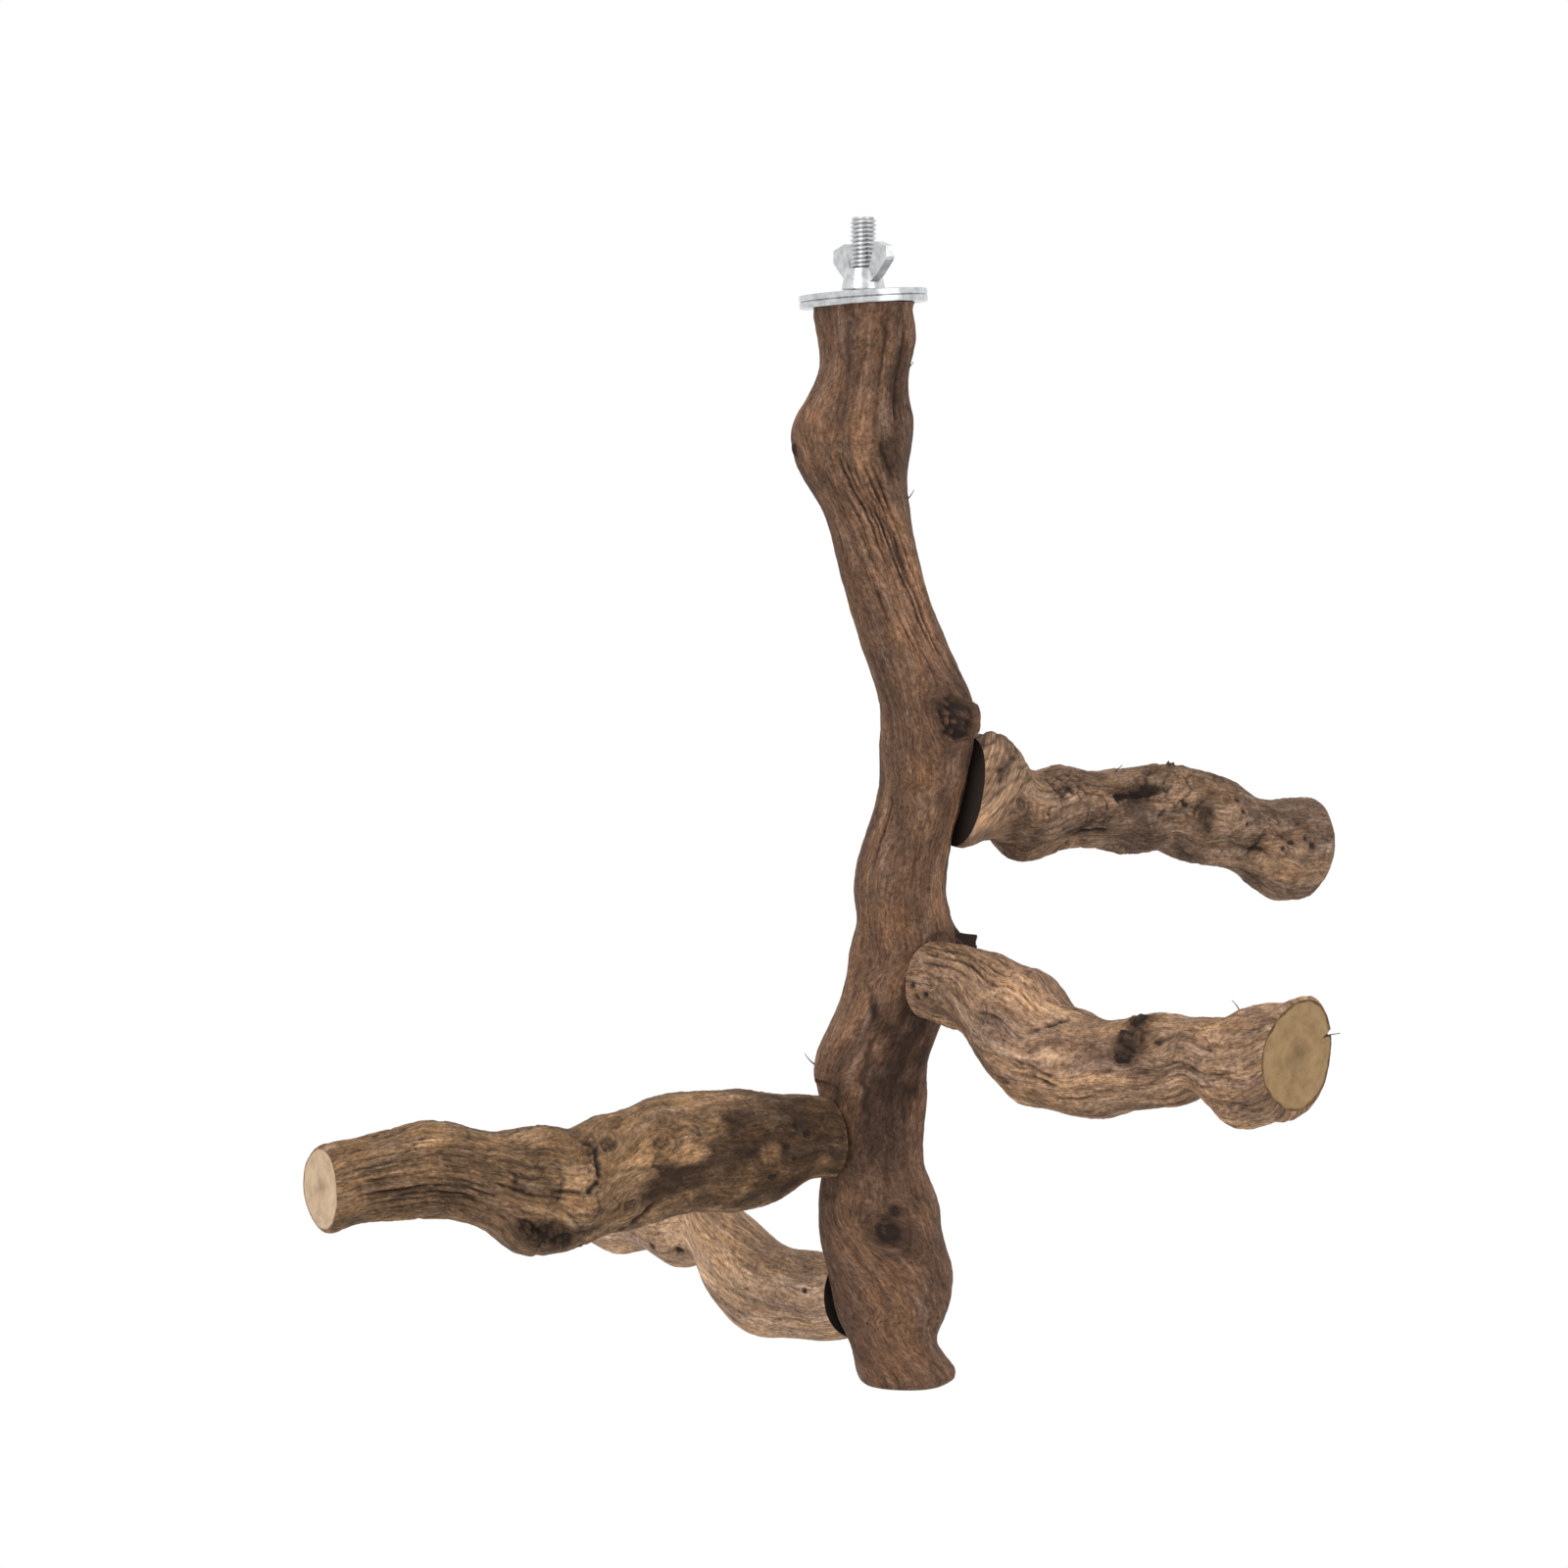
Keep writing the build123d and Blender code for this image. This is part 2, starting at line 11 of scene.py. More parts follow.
import bmesh
import bpy
import numpy as np
from bpy.props import FloatProperty, FloatVectorProperty, IntProperty, PointerProperty
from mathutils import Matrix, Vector
from mathutils.bvhtree import BVHTree


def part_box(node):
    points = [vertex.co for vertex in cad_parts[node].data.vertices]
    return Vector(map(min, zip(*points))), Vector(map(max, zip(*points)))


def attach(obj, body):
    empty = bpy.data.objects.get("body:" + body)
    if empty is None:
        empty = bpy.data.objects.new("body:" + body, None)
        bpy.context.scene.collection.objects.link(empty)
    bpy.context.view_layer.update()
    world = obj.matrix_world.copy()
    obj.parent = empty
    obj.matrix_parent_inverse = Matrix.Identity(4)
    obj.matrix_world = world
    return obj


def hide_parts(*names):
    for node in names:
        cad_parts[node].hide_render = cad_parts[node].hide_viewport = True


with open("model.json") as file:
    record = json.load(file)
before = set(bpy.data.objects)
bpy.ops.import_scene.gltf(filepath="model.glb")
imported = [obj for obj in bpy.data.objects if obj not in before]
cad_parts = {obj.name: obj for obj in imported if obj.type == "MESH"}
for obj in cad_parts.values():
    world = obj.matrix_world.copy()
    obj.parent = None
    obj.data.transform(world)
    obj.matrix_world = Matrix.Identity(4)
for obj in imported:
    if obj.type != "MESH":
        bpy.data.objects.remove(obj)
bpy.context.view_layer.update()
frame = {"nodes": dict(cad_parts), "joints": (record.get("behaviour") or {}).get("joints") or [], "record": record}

bl_info = {
    "name": "Bird perch dresser",
    "version": (1, 0, 0),
    "blender": (4, 5, 0),
    "location": "View3D > Sidebar > Perch",
    "description": "Models the weathered limbs, sawn ends and zinc clamp of a hanging bird perch",
    "category": "Object",
}

MM = 0.001
TRUNK = "trunk"
BRANCHES = ("upper_right_branch", "middle_right_branch", "left_front_branch", "left_rear_branch")
UP = Vector((0, 0, 1))

# Wrapping: the margin at a limb's ends, the depth and half breadth of the trunk's sawn top, where a ray
# starts, the radius where it hits nothing, when a row's centre is close enough, and where rows stop leaning
END_MARGIN = 0.05 * MM
TOP_RIM = 3 * MM
TOP_SIDE = 6 * MM
RAY_REACH = 45 * MM
MISSED_RADIUS = 8 * MM
CENTRE_STEP = 0.05 * MM
CENTRE_TRIES = 3
LEAN_SHARE = 1 / 6

# Ends: where carving fades out at a seat and a tip, how far back a tip is turned, and the first loop inside
SEAT_EASE = 2.2 * MM
TIP_EASE = 1.6 * MM
TIP_RUN = 14 * MM
RIM_SHARE = 0.998

# Seats: how much of a branch counts as its butt, the room round it, and the gap and height that are cleared
SEAT_RUN = 14 * MM
SEAT_MARGIN = 0.4 * MM
SEAT_GAP = 0.06 * MM
SEAT_HEIGHT = 12 * MM

FIBRE_TAPER = 0.86
THREAD_STEPS = 48

# Stage, in metres
FLOOR_SIZE = 3.0
FLOOR_LEVEL = -0.46
KEY_PLACE = (-0.9, -1.3, 1.1)
FILL_PLACE = (1.2, -1.2, 0.2)
LAMP_SIZE = 1.2
LAMP_AIM = Vector((0, 0, -0.13))

# How each limb is carved, in millimetres: its lumps, the depth, breadth and run of its flutes, its fine
# grain, its folds and wrinkles, the long wander and short waves of its grain, and its dark blotches
CARVING = {
    "trunk": dict(
        lump=0.35, flute=0.16, breadth=3.6, run=40, grain=0.12, fold=0.0, wrinkle=0.0, wander=1.8, wave=0.4,
        blotch=0.3, seed=3,
    ),
    "upper_right_branch": dict(
        lump=0.5, flute=0.32, breadth=2.6, run=12, grain=0.22, fold=0.8, wrinkle=0.9, wander=2.6, wave=1.2,
        blotch=0.5, seed=11,
    ),
    "middle_right_branch": dict(
        lump=0.4, flute=0.34, breadth=2.3, run=18, grain=0.2, fold=0.0, wrinkle=0.35, wander=2.6, wave=1.2,
        blotch=0.3, seed=23,
    ),
    "left_front_branch": dict(
        lump=0.4, flute=0.34, breadth=2.4, run=24, grain=0.2, fold=0.4, wrinkle=0.7, wander=1.8, wave=0.7,
        blotch=0.4, seed=37,
    ),
    "left_rear_branch": dict(
        lump=0.25, flute=0.08, breadth=3.6, run=30, grain=0.1, fold=0.0, wrinkle=0.0, wander=1.8, wave=0.4,
        blotch=0.15, seed=51,
    ),
}

# How far the grain has turned round each limb, in degrees, at shares of its length
GRAIN_TURNS = {
    "trunk": [
        (0, 0), (0.12, 0), (0.34, 38), (0.45, 44), (0.60, 44), (0.66, 36), (0.74, 16), (0.84, 22), (1, 100),
    ],
    "upper_right_branch": [(0, 0), (0.14, -105), (0.30, -125), (0.60, -140), (1, -165)],
    "middle_right_branch": [(0, 0), (0.30, 10), (0.60, -5), (1, 0)],
    "left_front_branch": [(0, 0), (0.40, 12), (0.56, -10), (1, -4)],
    "left_rear_branch": [(0, 0), (0.40, 10), (1, 0)],
}

# How far a limb stands out from its solid, in millimetres, at shares of its length
SWELLS = {
    "trunk": [(0, 1.35), (0.004, 1.0), (0.010, 0.4), (0.018, -0.2), (0.030, -0.25), (0.041, 0), (1, 0)],
}

# How far a sawn tip is turned to the front, in degrees
TIP_TURNS = {"left_front_branch": 5.5}

# Where wrinkles show, from 0 to 1, at shares of each limb's length
WRINKLED = {
    "upper_right_branch": [(0, 0.2), (0.12, 0.4), (0.2, 1), (0.6, 1), (0.8, 0.6), (1, 0.3)],
    "middle_right_branch": [(0, 0.5), (0.3, 1), (0.68, 1), (0.75, 0.3), (1, 0.3)],
    "left_front_branch": [(0, 1), (0.5, 1), (0.58, 0.2), (1, 0.1)],
}

# Where flutes are deep, from 0 to 1, at shares of each limb's length
FLUTED = {
    "trunk": [(0, 0.9), (0.12, 1), (0.40, 0.7), (0.62, 1), (0.80, 0.8), (1, 0.7)],
    "upper_right_branch": [(0, 0.5), (0.15, 0.9), (0.75, 1), (0.85, 0.4), (1, 0.2)],
    "middle_right_branch": [(0, 1), (1, 0.9)],
    "left_front_branch": [(0, 0.2), (0.45, 0.3), (0.56, 1), (1, 1)],
    "left_rear_branch": [(0, 1), (1, 1)],
}

# How far the grain is pushed aside by each kind of knot, in shares of its radius
GRAIN_PUSH = {"burl": 1.0, "eye": 1.15, "pit": 0.7, "scab": 0.7, "lump": 0.45}

# Knots: share, heading, radius and height in millimetres, and kind
KNOTS = {
    "trunk": [
        (0.378, -55, 5.6, 0.8, "burl"),
        (0.370, -75, 1.8, 0.3, "eye"),
        (0.393, -52, 1.5, 0.0, "pit"),
        (0.848, -83, 3.7, 0.6, "eye"),
        (0.829, -74, 1.5, 0.0, "pit"),
        (0.133, -168, 1.5, 1.3, "pit"),
        (0.588, 8, 4.4, 0.6, "scab"),
        (0.592, -8, 2.4, 0.4, "scab"),
    ],
    "upper_right_branch": [
        (0.112, 190, 1.8, 0.4, "eye"),
        (0.634, 181, 2.4, -0.5, "lump"),
        (0.446, 186, 2.6, 0.6, "lump"),
        (0.405, 178, 1.8, 0.5, "lump"),
        (0.490, 192, 2.2, 0.5, "lump"),
        (0.700, 173, 2.6, 0.4, "lump"),
        (0.725, 164, 0.8, 0.0, "pit"),
        (0.712, 150, 0.7, 0.0, "pit"),
        (0.738, 178, 0.6, 0.0, "pit"),
        (0.870, 174, 0.9, 0.0, "pit"),
        (0.925, 173, 1.0, 0.0, "pit"),
        (0.852, 184, 0.6, 0.0, "pit"),
        (0.905, 166, 0.6, 0.0, "pit"),
        (0.560, 100, 1.4, 0.4, "scab"),
        (0.240, 96, 1.6, 0.5, "lump"),
        (0.455, 128, 3.4, 0.7, "lump"),
        (0.330, 20, 2.2, 0.4, "eye"),
        (0.600, 330, 2.6, 0.5, "lump"),
    ],
    "middle_right_branch": [
        (0.634, 116, 2.8, 0.9, "scab"),
        (0.652, 142, 3.2, 1.0, "scab"),
        (0.642, 166, 2.6, 0.7, "scab"),
        (0.713, 149, 0.9, 0.2, "pit"),
        (0.027, 181, 1.0, 0.0, "pit"),
        (0.081, 189, 0.9, 0.0, "pit"),
        (0.045, 196, 0.8, 0.0, "pit"),
        (0.480, 20, 2.4, 0.5, "eye"),
    ],
    "left_front_branch": [
        (0.471, 49, 2.5, 0.4, "eye"),
        (0.380, 30, 2.2, 0.3, "eye"),
        (0.444, -23, 2.2, 0.4, "eye"),
        (0.454, 65, 1.3, 0.2, "eye"),
        (0.369, 50, 1.5, 0.3, "eye"),
        (0.611, -38, 3.8, 0.8, "burl"),
        (0.636, -31, 2.8, 0.6, "burl"),
        (0.572, -44, 3.0, 0.6, "burl"),
        (0.552, 66, 2.8, 0.5, "lump"),
        (0.163, -25, 1.3, 0.0, "pit"),
        (0.139, 8, 1.0, 0.0, "pit"),
        (0.089, 19, 1.1, 0.0, "pit"),
        (0.112, 30, 0.8, 0.0, "pit"),
        (0.122, -6, 0.7, 0.0, "pit"),
        (0.420, 190, 2.6, 0.5, "eye"),
    ],
    "left_rear_branch": [
        (0.485, -34, 1.1, 0.0, "pit"),
        (0.580, -29, 0.9, 0.0, "pit"),
        (0.067, 19, 0.8, 0.0, "pit"),
    ],
}

# Cracks: from a share and heading to a share and heading, width and depth in millimetres
CRACKS = {
    "trunk": [
        (0.150, -128, 0.300, -98, 0.45, 0.5),
        (0.140, -117, 0.310, -80, 0.5, 0.6),
        (0.131, -109, 0.300, -68, 0.5, 0.8),
        (0.133, -103, 0.275, -66, 0.45, 0.7),
        (0.135, -96, 0.318, -50, 0.55, 0.8),
        (0.142, -90, 0.290, -50, 0.45, 0.7),
        (0.140, -83, 0.335, -38, 0.55, 0.8),
        (0.146, -74, 0.260, -46, 0.5, 0.7),
        (0.200, -110, 0.330, -74, 0.45, 0.6),
        (0.230, -92, 0.350, -60, 0.45, 0.6),
        (0.016, -86, 0.085, -100, 0.5, 0.4),
        (0.018, -66, 0.120, -70, 0.5, 0.5),
        (0.020, -36, 0.120, -44, 0.8, 0.7),
        (0.125, -60, 0.163, -52, 0.7, 0.6),
        (0.163, -52, 0.140, -38, 0.7, 0.6),
        (0.600, -134, 0.622, -126, 0.9, 0.6),
        (0.617, -128, 0.660, -100, 1.3, 1.0),
        (0.655, -100, 0.770, -98, 1.0, 0.6),
        (0.440, -132, 0.520, -132, 0.55, 0.5),
        (0.340, -50, 0.368, -52, 0.6, 0.5),
        (0.400, -58, 0.440, -66, 0.6, 0.5),
    ],
    "upper_right_branch": [
        (0.000, 152, 0.050, 158, 1.0, 0.5),
        (0.050, 158, 0.088, 140, 1.0, 0.6),
        (0.088, 140, 0.110, 112, 1.0, 0.6),
        (0.030, 170, 0.110, 150, 0.6, 0.4),
        (0.020, 186, 0.120, 160, 0.6, 0.4),
        (0.010, 214, 0.140, 180, 0.6, 0.4),
        (0.190, 118, 0.235, 168, 0.8, 0.6),
        (0.218, 116, 0.258, 160, 0.8, 0.6),
        (0.246, 118, 0.280, 152, 0.7, 0.6),
        (0.270, 118, 0.300, 146, 0.7, 0.5),
        (0.365, 160, 0.420, 150, 1.5, 1.2),
        (0.410, 150, 0.515, 140, 1.7, 1.3),
        (0.270, 218, 0.370, 206, 1.2, 1.0),
        (0.150, 210, 0.250, 220, 1.0, 0.8),
        (0.480, 196, 0.520, 172, 0.9, 0.7),
        (0.540, 160, 0.590, 132, 0.9, 0.6),
        (0.770, 224, 0.800, 170, 0.9, 0.5),
        (0.810, 128, 0.840, 160, 0.7, 0.4),
        (0.300, 20, 0.420, 0, 1.1, 0.8),
        (0.520, 60, 0.560, 20, 0.9, 0.7),
    ],
    "middle_right_branch": [
        (0.02, 118, 0.30, 104, 0.5, 0.6),
        (0.03, 134, 0.28, 120, 0.55, 0.7),
        (0.04, 148, 0.22, 138, 0.5, 0.6),
        (0.445, 106, 0.400, 130, 0.9, 0.8),
        (0.400, 130, 0.365, 158, 0.8, 0.6),
        (0.36, 176, 0.52, 190, 0.55, 0.6),
        (0.40, 190, 0.60, 200, 0.6, 0.7),
        (0.44, 204, 0.66, 212, 0.55, 0.6),
        (0.52, 176, 0.62, 188, 0.6, 0.6),
        (0.70, 186, 0.95, 184, 0.5, 0.5),
        (0.72, 204, 0.92, 200, 0.5, 0.5),
        (0.74, 166, 0.96, 166, 0.5, 0.4),
        (0.200, 20, 0.420, 30, 0.6, 0.7),
        (0.500, 350, 0.760, 360, 0.6, 0.7),
    ],
    "left_front_branch": [
        (0.985, 54, 0.72, 48, 0.5, 0.5),
        (0.985, 40, 0.68, 34, 0.5, 0.6),
        (0.985, 28, 0.62, 20, 0.55, 0.7),
        (0.970, 19, 0.80, 14, 0.5, 0.5),
        (0.985, 9, 0.56, 3, 0.55, 0.7),
        (0.930, 1, 0.70, -5, 0.5, 0.6),
        (0.980, -9, 0.60, -14, 0.55, 0.7),
        (0.900, -19, 0.70, -22, 0.5, 0.6),
        (0.960, -28, 0.64, -28, 0.55, 0.7),
        (0.940, -40, 0.70, -40, 0.5, 0.6),
        (0.545, 70, 0.500, 52, 0.9, 0.8),
        (0.500, 52, 0.504, 16, 0.9, 0.8),
        (0.504, 16, 0.535, 6, 0.8, 0.7),
        (0.535, 6, 0.610, 10, 0.7, 0.6),
        (0.470, 14, 0.405, 8, 0.8, 0.8),
        (0.405, 8, 0.372, 20, 0.8, 0.7),
        (0.395, -30, 0.440, -48, 0.9, 0.9),
        (0.440, -48, 0.510, -66, 0.9, 0.8),
        (0.265, 44, 0.215, 30, 0.8, 0.6),
        (0.215, 30, 0.190, 0, 0.8, 0.6),
        (0.320, 170, 0.500, 190, 0.7, 0.8),
        (0.980, 180, 0.660, 172, 0.55, 0.7),
        (0.960, 150, 0.700, 146, 0.55, 0.6),
    ],
    "left_rear_branch": [(0.04, -24, 0.24, -30, 0.5, 0.3), (0.46, -30, 0.60, -44, 0.5, 0.4)],
}

# Patches of another tone: share, heading, run and breadth in millimetres, and tone, dark below zero. Some dark
# ones are painted shadow
PATCHES = {
    "trunk": [
        (0.071, -40, 9, 4, -0.55),
        (0.142, -49, 6, 4, -0.65),
        (0.095, -141, 5, 4, 0.3),
        (0.185, -96, 16, 7, 0.5),
        (0.235, -82, 18, 7, 0.65),
        (0.285, -66, 18, 7, 0.65),
        (0.330, -52, 12, 5, 0.3),
        (0.360, -90, 14, 12, -0.15),
        (0.390, -112, 20, 9, -0.16),
        (0.258, -140, 22, 6, -0.15),
        (0.380, -60, 6, 6, -0.3),
        (0.415, -48, 7, 3, 0.35),
        (0.474, -23, 16, 3, 0.6),
        (0.540, -40, 8, 4, 0.2),
        (0.645, -138, 12, 5, 0.25),
        # The next four dark patches, below the middle right branch, are its painted shadow on the trunk
        (0.655, -86, 7, 5, -0.45),
        (0.690, -66, 12, 7, -0.75),
        (0.735, -78, 14, 7, -0.7),
        (0.765, -120, 14, 8, -0.5),
        (0.838, -98, 5, 5, -0.3),
        (0.850, -83, 6, 5, -0.35),
        (0.925, -90, 20, 14, -0.1),
        (0.300, 90, 20, 8, 0.2),
        (0.620, 100, 16, 8, -0.3),
    ],
    "upper_right_branch": [
        (0.010, 133, 6, 6, 0.65),
        (0.060, 122, 4, 4, 0.3),
        (0.023, 196, 7, 6, 0.4),
        (0.090, 178, 5, 4, 0.3),
        (0.080, 128, 3, 4, -0.4),
        (0.142, 214, 6, 5, -0.6),
        (0.220, 134, 6, 4, -0.3),
        (0.300, 170, 8, 5, 0.2),
        (0.435, 148, 8, 3.2, -0.95),
        (0.381, 204, 7, 4, -0.35),
        (0.305, 214, 6, 3, -0.75),
        (0.540, 168, 6, 4, 0.25),
        (0.634, 180, 2.6, 4.4, -1.0),
        (0.570, 200, 6, 4, -0.3),
        (0.695, 172, 5, 5, 0.35),
        (0.767, 208, 4, 6, -0.45),
        (0.850, 178, 7, 5, 0.3),
        (0.894, 118, 8, 6, -0.35),
        (0.960, 200, 6, 8, 0.1),
    ],
    "middle_right_branch": [
        (0.080, 150, 8, 5, 0.15),
        (0.181, 192, 7, 5, -0.35),
        (0.110, 205, 8, 4, -0.3),
        (0.352, 112, 8, 6, 0.35),
        (0.347, 223, 9, 4, -0.5),
        (0.450, 228, 10, 4, -0.4),
        (0.420, 160, 7, 4, 0.3),
        (0.645, 145, 5, 6, -0.45),
        (0.560, 190, 9, 5, 0.15),
        (0.932, 132, 5, 4, -0.4),
        (0.870, 170, 10, 5, 0.1),
        (0.975, 236, 6, 5, -0.45),
        (0.600, 20, 12, 8, -0.25),
    ],
    "left_front_branch": [
        (0.140, 6, 17, 17, -0.85),
        (0.050, 20, 9, 14, -0.7),
        (0.220, 31, 7, 8, -0.9),
        (0.255, 14, 7, 6, -0.7),
        (0.357, -15, 8, 5, -0.95),
        (0.285, -28, 13, 8, -0.65),
        (0.270, 64, 12, 4, 0.3),
        (0.175, 2, 3, 2.4, 0.15),
        (0.335, 10, 4.6, 2.4, 1.0),
        (0.400, 62, 10, 5, 0.25),
        (0.440, 12, 6, 5, 0.3),
        (0.605, -38, 9, 5, -0.75),
        (0.551, 2, 6, 7, 0.25),
        (0.759, 26, 8, 5, -0.3),
        (0.820, 55, 7, 4, 0.25),
        (0.640, 20, 8, 7, -0.2),
        (0.886, -43, 20, 4, -0.35),
        (0.450, 200, 14, 8, -0.4),
    ],
    "left_rear_branch": [(0.26, 0, 22, 12, 0.12), (0.635, -24, 8, 5, -0.2), (0.12, -25, 10, 6, -0.15)],
}

# Layers of grain: how many times they repeat in a metre across, across and along it, then their detail,
# roughness and distortion
GRAIN_LAYERS = {
    "Streaks": ((430, 430, 70), 4.0, 0.65, 0.5),
    "Broad": ((170, 170, 22), 2.0, 0.5, 0.4),
    "Lines": ((620, 620, 75), 3.0, 0.55, 0.7),
    "Fibres": ((1700, 1700, 380), 3.0, 0.6, 0.3),
    "Specks": ((1300, 1300, 1000), 3.0, 0.7, 0.0),
}

# How mottle, dark lines, patches and growth rings darken and lighten the wood: places on a ramp and factors
PLAIN = (1, 1, 1, 1)
MOTTLE_TONES = [(0.34, (0.82, 0.82, 0.86, 1)), (0.50, PLAIN), (0.66, (1.16, 1.11, 1.04, 1))]
LINE_TONES = [(0.0, (0.34, 0.29, 0.26, 1)), (1.0, PLAIN)]
PATCH_TONES = [(0.0, (0.22, 0.19, 0.17, 1)), (0.5, PLAIN), (1.0, (2.0, 1.98, 1.90, 1))]
RING_TONES = [(0.0, (0.97, 0.965, 0.96, 1)), (1.0, (1.01, 1.01, 1.01, 1))]
# Painted shade in the roots of the stud's thread
THREAD_ROOT_SHADE = (0.34, 0.34, 0.35, 1)

# How the finer layers of grain darken and lighten the wood
GRAIN_TONES = {
    "Broad": [(0.36, (0.78, 0.77, 0.80, 1)), (0.50, PLAIN), (0.64, (1.24, 1.21, 1.13, 1))],
    "Fibres": [(0.30, (0.62, 0.59, 0.57, 1)), (0.50, PLAIN), (0.70, (1.42, 1.40, 1.36, 1))],
    "Specks": [(0.30, (0.50, 0.47, 0.45, 1)), (0.48, PLAIN), (0.68, (1.50, 1.50, 1.48, 1))],
}

# Loose fibres: limb, share, heading, length in millimetres and lean along the limb
FIBRES = [
    (TRUNK, 0.062, -8, 2.2, -1.2),
    (TRUNK, 0.094, -18, 3.2, 1.6),
    (TRUNK, 0.180, -8, 3.0, -1.4),
    (TRUNK, 0.702, -172, 4.0, -1.2),
    ("upper_right_branch", 0.400, 100, 3.2, 0.8),
    ("middle_right_branch", 0.860, 96, 3.4, -1.2),
    ("middle_right_branch", 0.990, 24, 4.6, 1.2),
]


def colour_property(name, description, default):
    """Setting that is a colour."""
    return FloatVectorProperty(
        name=name, description=description, subtype="COLOR", size=3, default=default, min=0, max=1,
    )


def length_property(name, description, default, low, high):
    """Setting that is a length, given in millimetres."""
    return FloatProperty(
        name=name, description=description, unit="LENGTH", default=default * MM, min=low * MM, max=high * MM,
    )


class PerchWoodSettings(bpy.types.PropertyGroup):
    """Colours of the wood and the fineness of its carving"""

    trunk_colour: colour_property("Trunk", "Middle colour of the trunk's wood", (0.156, 0.083, 0.048))
    upper_right_colour: colour_property(
        "Upper right", "Middle colour of the upper right branch", (0.254, 0.156, 0.096),
    )
    middle_right_colour: colour_property(
        "Middle right", "Middle colour of the middle right branch", (0.338, 0.203, 0.119),
    )
    left_front_colour: colour_property(
        "Left front", "Middle colour of the left front branch", (0.242, 0.141, 0.071),
    )
    left_rear_colour: colour_property(
        "Left rear", "Middle colour of the left rear branch", (0.436, 0.276, 0.170),
    )
    # Crevices: colour of the painted shade in cracks, wrinkles, pits and seat gaps, and of the knots' dark
    crevice_colour: colour_property(
        "Crevices", "Colour at the bottom of cracks and wrinkles", (0.022, 0.012, 0.008),
    )
    ochre_colour: colour_property("Ochre end", "Middle right branch's sawn end", (0.372, 0.242, 0.118))
    cream_colour: colour_property("Cream end", "Other sawn ends", (0.630, 0.455, 0.300))
    trunk_row_step: length_property("Trunk rows", "Distance between the trunk's rows of points", 0.5, 0.2, 3)
    branch_row_step: length_property(
        "Branch rows", "Distance between a branch's rows of points", 0.34, 0.2, 3,
    )
    ring_count: IntProperty(
        name="Ring", description="Vertices round a limb", default=176, min=24, max=320,
    )
    fibre_thickness: length_property("Fibres", "Thickness of a loose fibre at its root", 0.42, 0.05, 1)
    cap_loops: IntProperty(
        name="End loops", description="Loops across a sawn end", default=16, min=3, max=40,
    )


class PerchClampSettings(bpy.types.PropertyGroup):
    """Sizes and finish of the zinc clamp"""

    zinc_colour: colour_property("Zinc", "Colour of the plating", (0.58, 0.59, 0.60))
    pitch: length_property("Pitch", "Rise of the thread in a turn", 1.0, 0.2, 3)
    thread_depth: length_property("Thread depth", "Depth of the thread below its crest", 0.58, 0.1, 2)
    tip_chamfer: length_property("Tip chamfer", "Bevel at the stud's tip", 0.6, 0, 2)


class PerchStageSettings(bpy.types.PropertyGroup):
    """Camera and light"""

    camera_place: FloatVectorProperty(
        name="Camera", description="Place of the camera", subtype="XYZ", unit="LENGTH", size=3,
        default=(-0.0185, -0.9, -0.04087),
    )
    camera_pitch: FloatProperty(
        name="Pitch", description="How far the camera looks down", unit="ROTATION",
        default=math.radians(4.61),
    )
    lens: FloatProperty(
        name="Lens", description="Focal length in millimetres", default=88.04, min=10, max=300,
    )
    key_power: FloatProperty(name="Key", description="Power of the key lamp", default=15.0, min=0, max=500)
    fill_power: FloatProperty(name="Fill", description="Power of the fill lamp", default=5.0, min=0, max=500)
    sky_strength: FloatProperty(name="Sky", description="Light from all round", default=0.72, min=0, max=5)


def lattice_noise(points, seed):
    """Smooth, repeatable noise from -1 to 1 at an array of points."""
    base = np.floor(points).astype(np.int64)
    part = points - base
    ease = part * part * (3 - 2 * part)
    total = np.zeros(len(points))
    for corner in itertools.product((0, 1), repeat=3):
        cell = base + np.array(corner)
        mixed = cell[:, 0] * 374761393 + cell[:, 1] * 668265263 + cell[:, 2] * 2147483647 + seed * 974634
        mixed = (mixed ^ (mixed >> 13)) * 1274126177
        value = ((mixed ^ (mixed >> 16)) & 0xFFFF) / 0x7FFF - 1
        total += value * np.where(np.array(corner), ease, 1 - ease).prod(axis=1)
    return total


def layered_noise(points, seed, layers):
    """Noise with finer, fainter layers added."""
    return sum(lattice_noise(points * 2 ** layer, seed + layer) / 2 ** layer for layer in range(layers))


def smooth_step(low, high, values):
    """Ease from 0 at low to 1 at high."""
    part = np.clip((values - low) / (high - low), 0, 1)
    return part * part * (3 - 2 * part)


def limb_frame(node):
    """Where a limb starts, its direction, and the side and lift directions across it."""
    if node == TRUNK:
        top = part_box("lower_washer")
        start = Vector((0, 0, (top[0].z + top[1].z) / 2))
        return start, -UP, Vector((1, 0, 0)), Vector((0, 1, 0))
    joint = next(joint for joint in frame["joints"] if joint["child"] == node)
    along = Vector(joint["axis"]).normalized()
    side = UP.cross(along).normalized()
    return Vector(joint["pos_m"]), along, side, along.cross(side)


def solid_tree(node):
    """Search tree of a solid's faces, and its vertices."""
    mesh = frame["nodes"][node].data
    corners = [vertex.co.copy() for vertex in mesh.vertices]
    return BVHTree.FromPolygons(corners, [list(face.vertices) for face in mesh.polygons]), corners


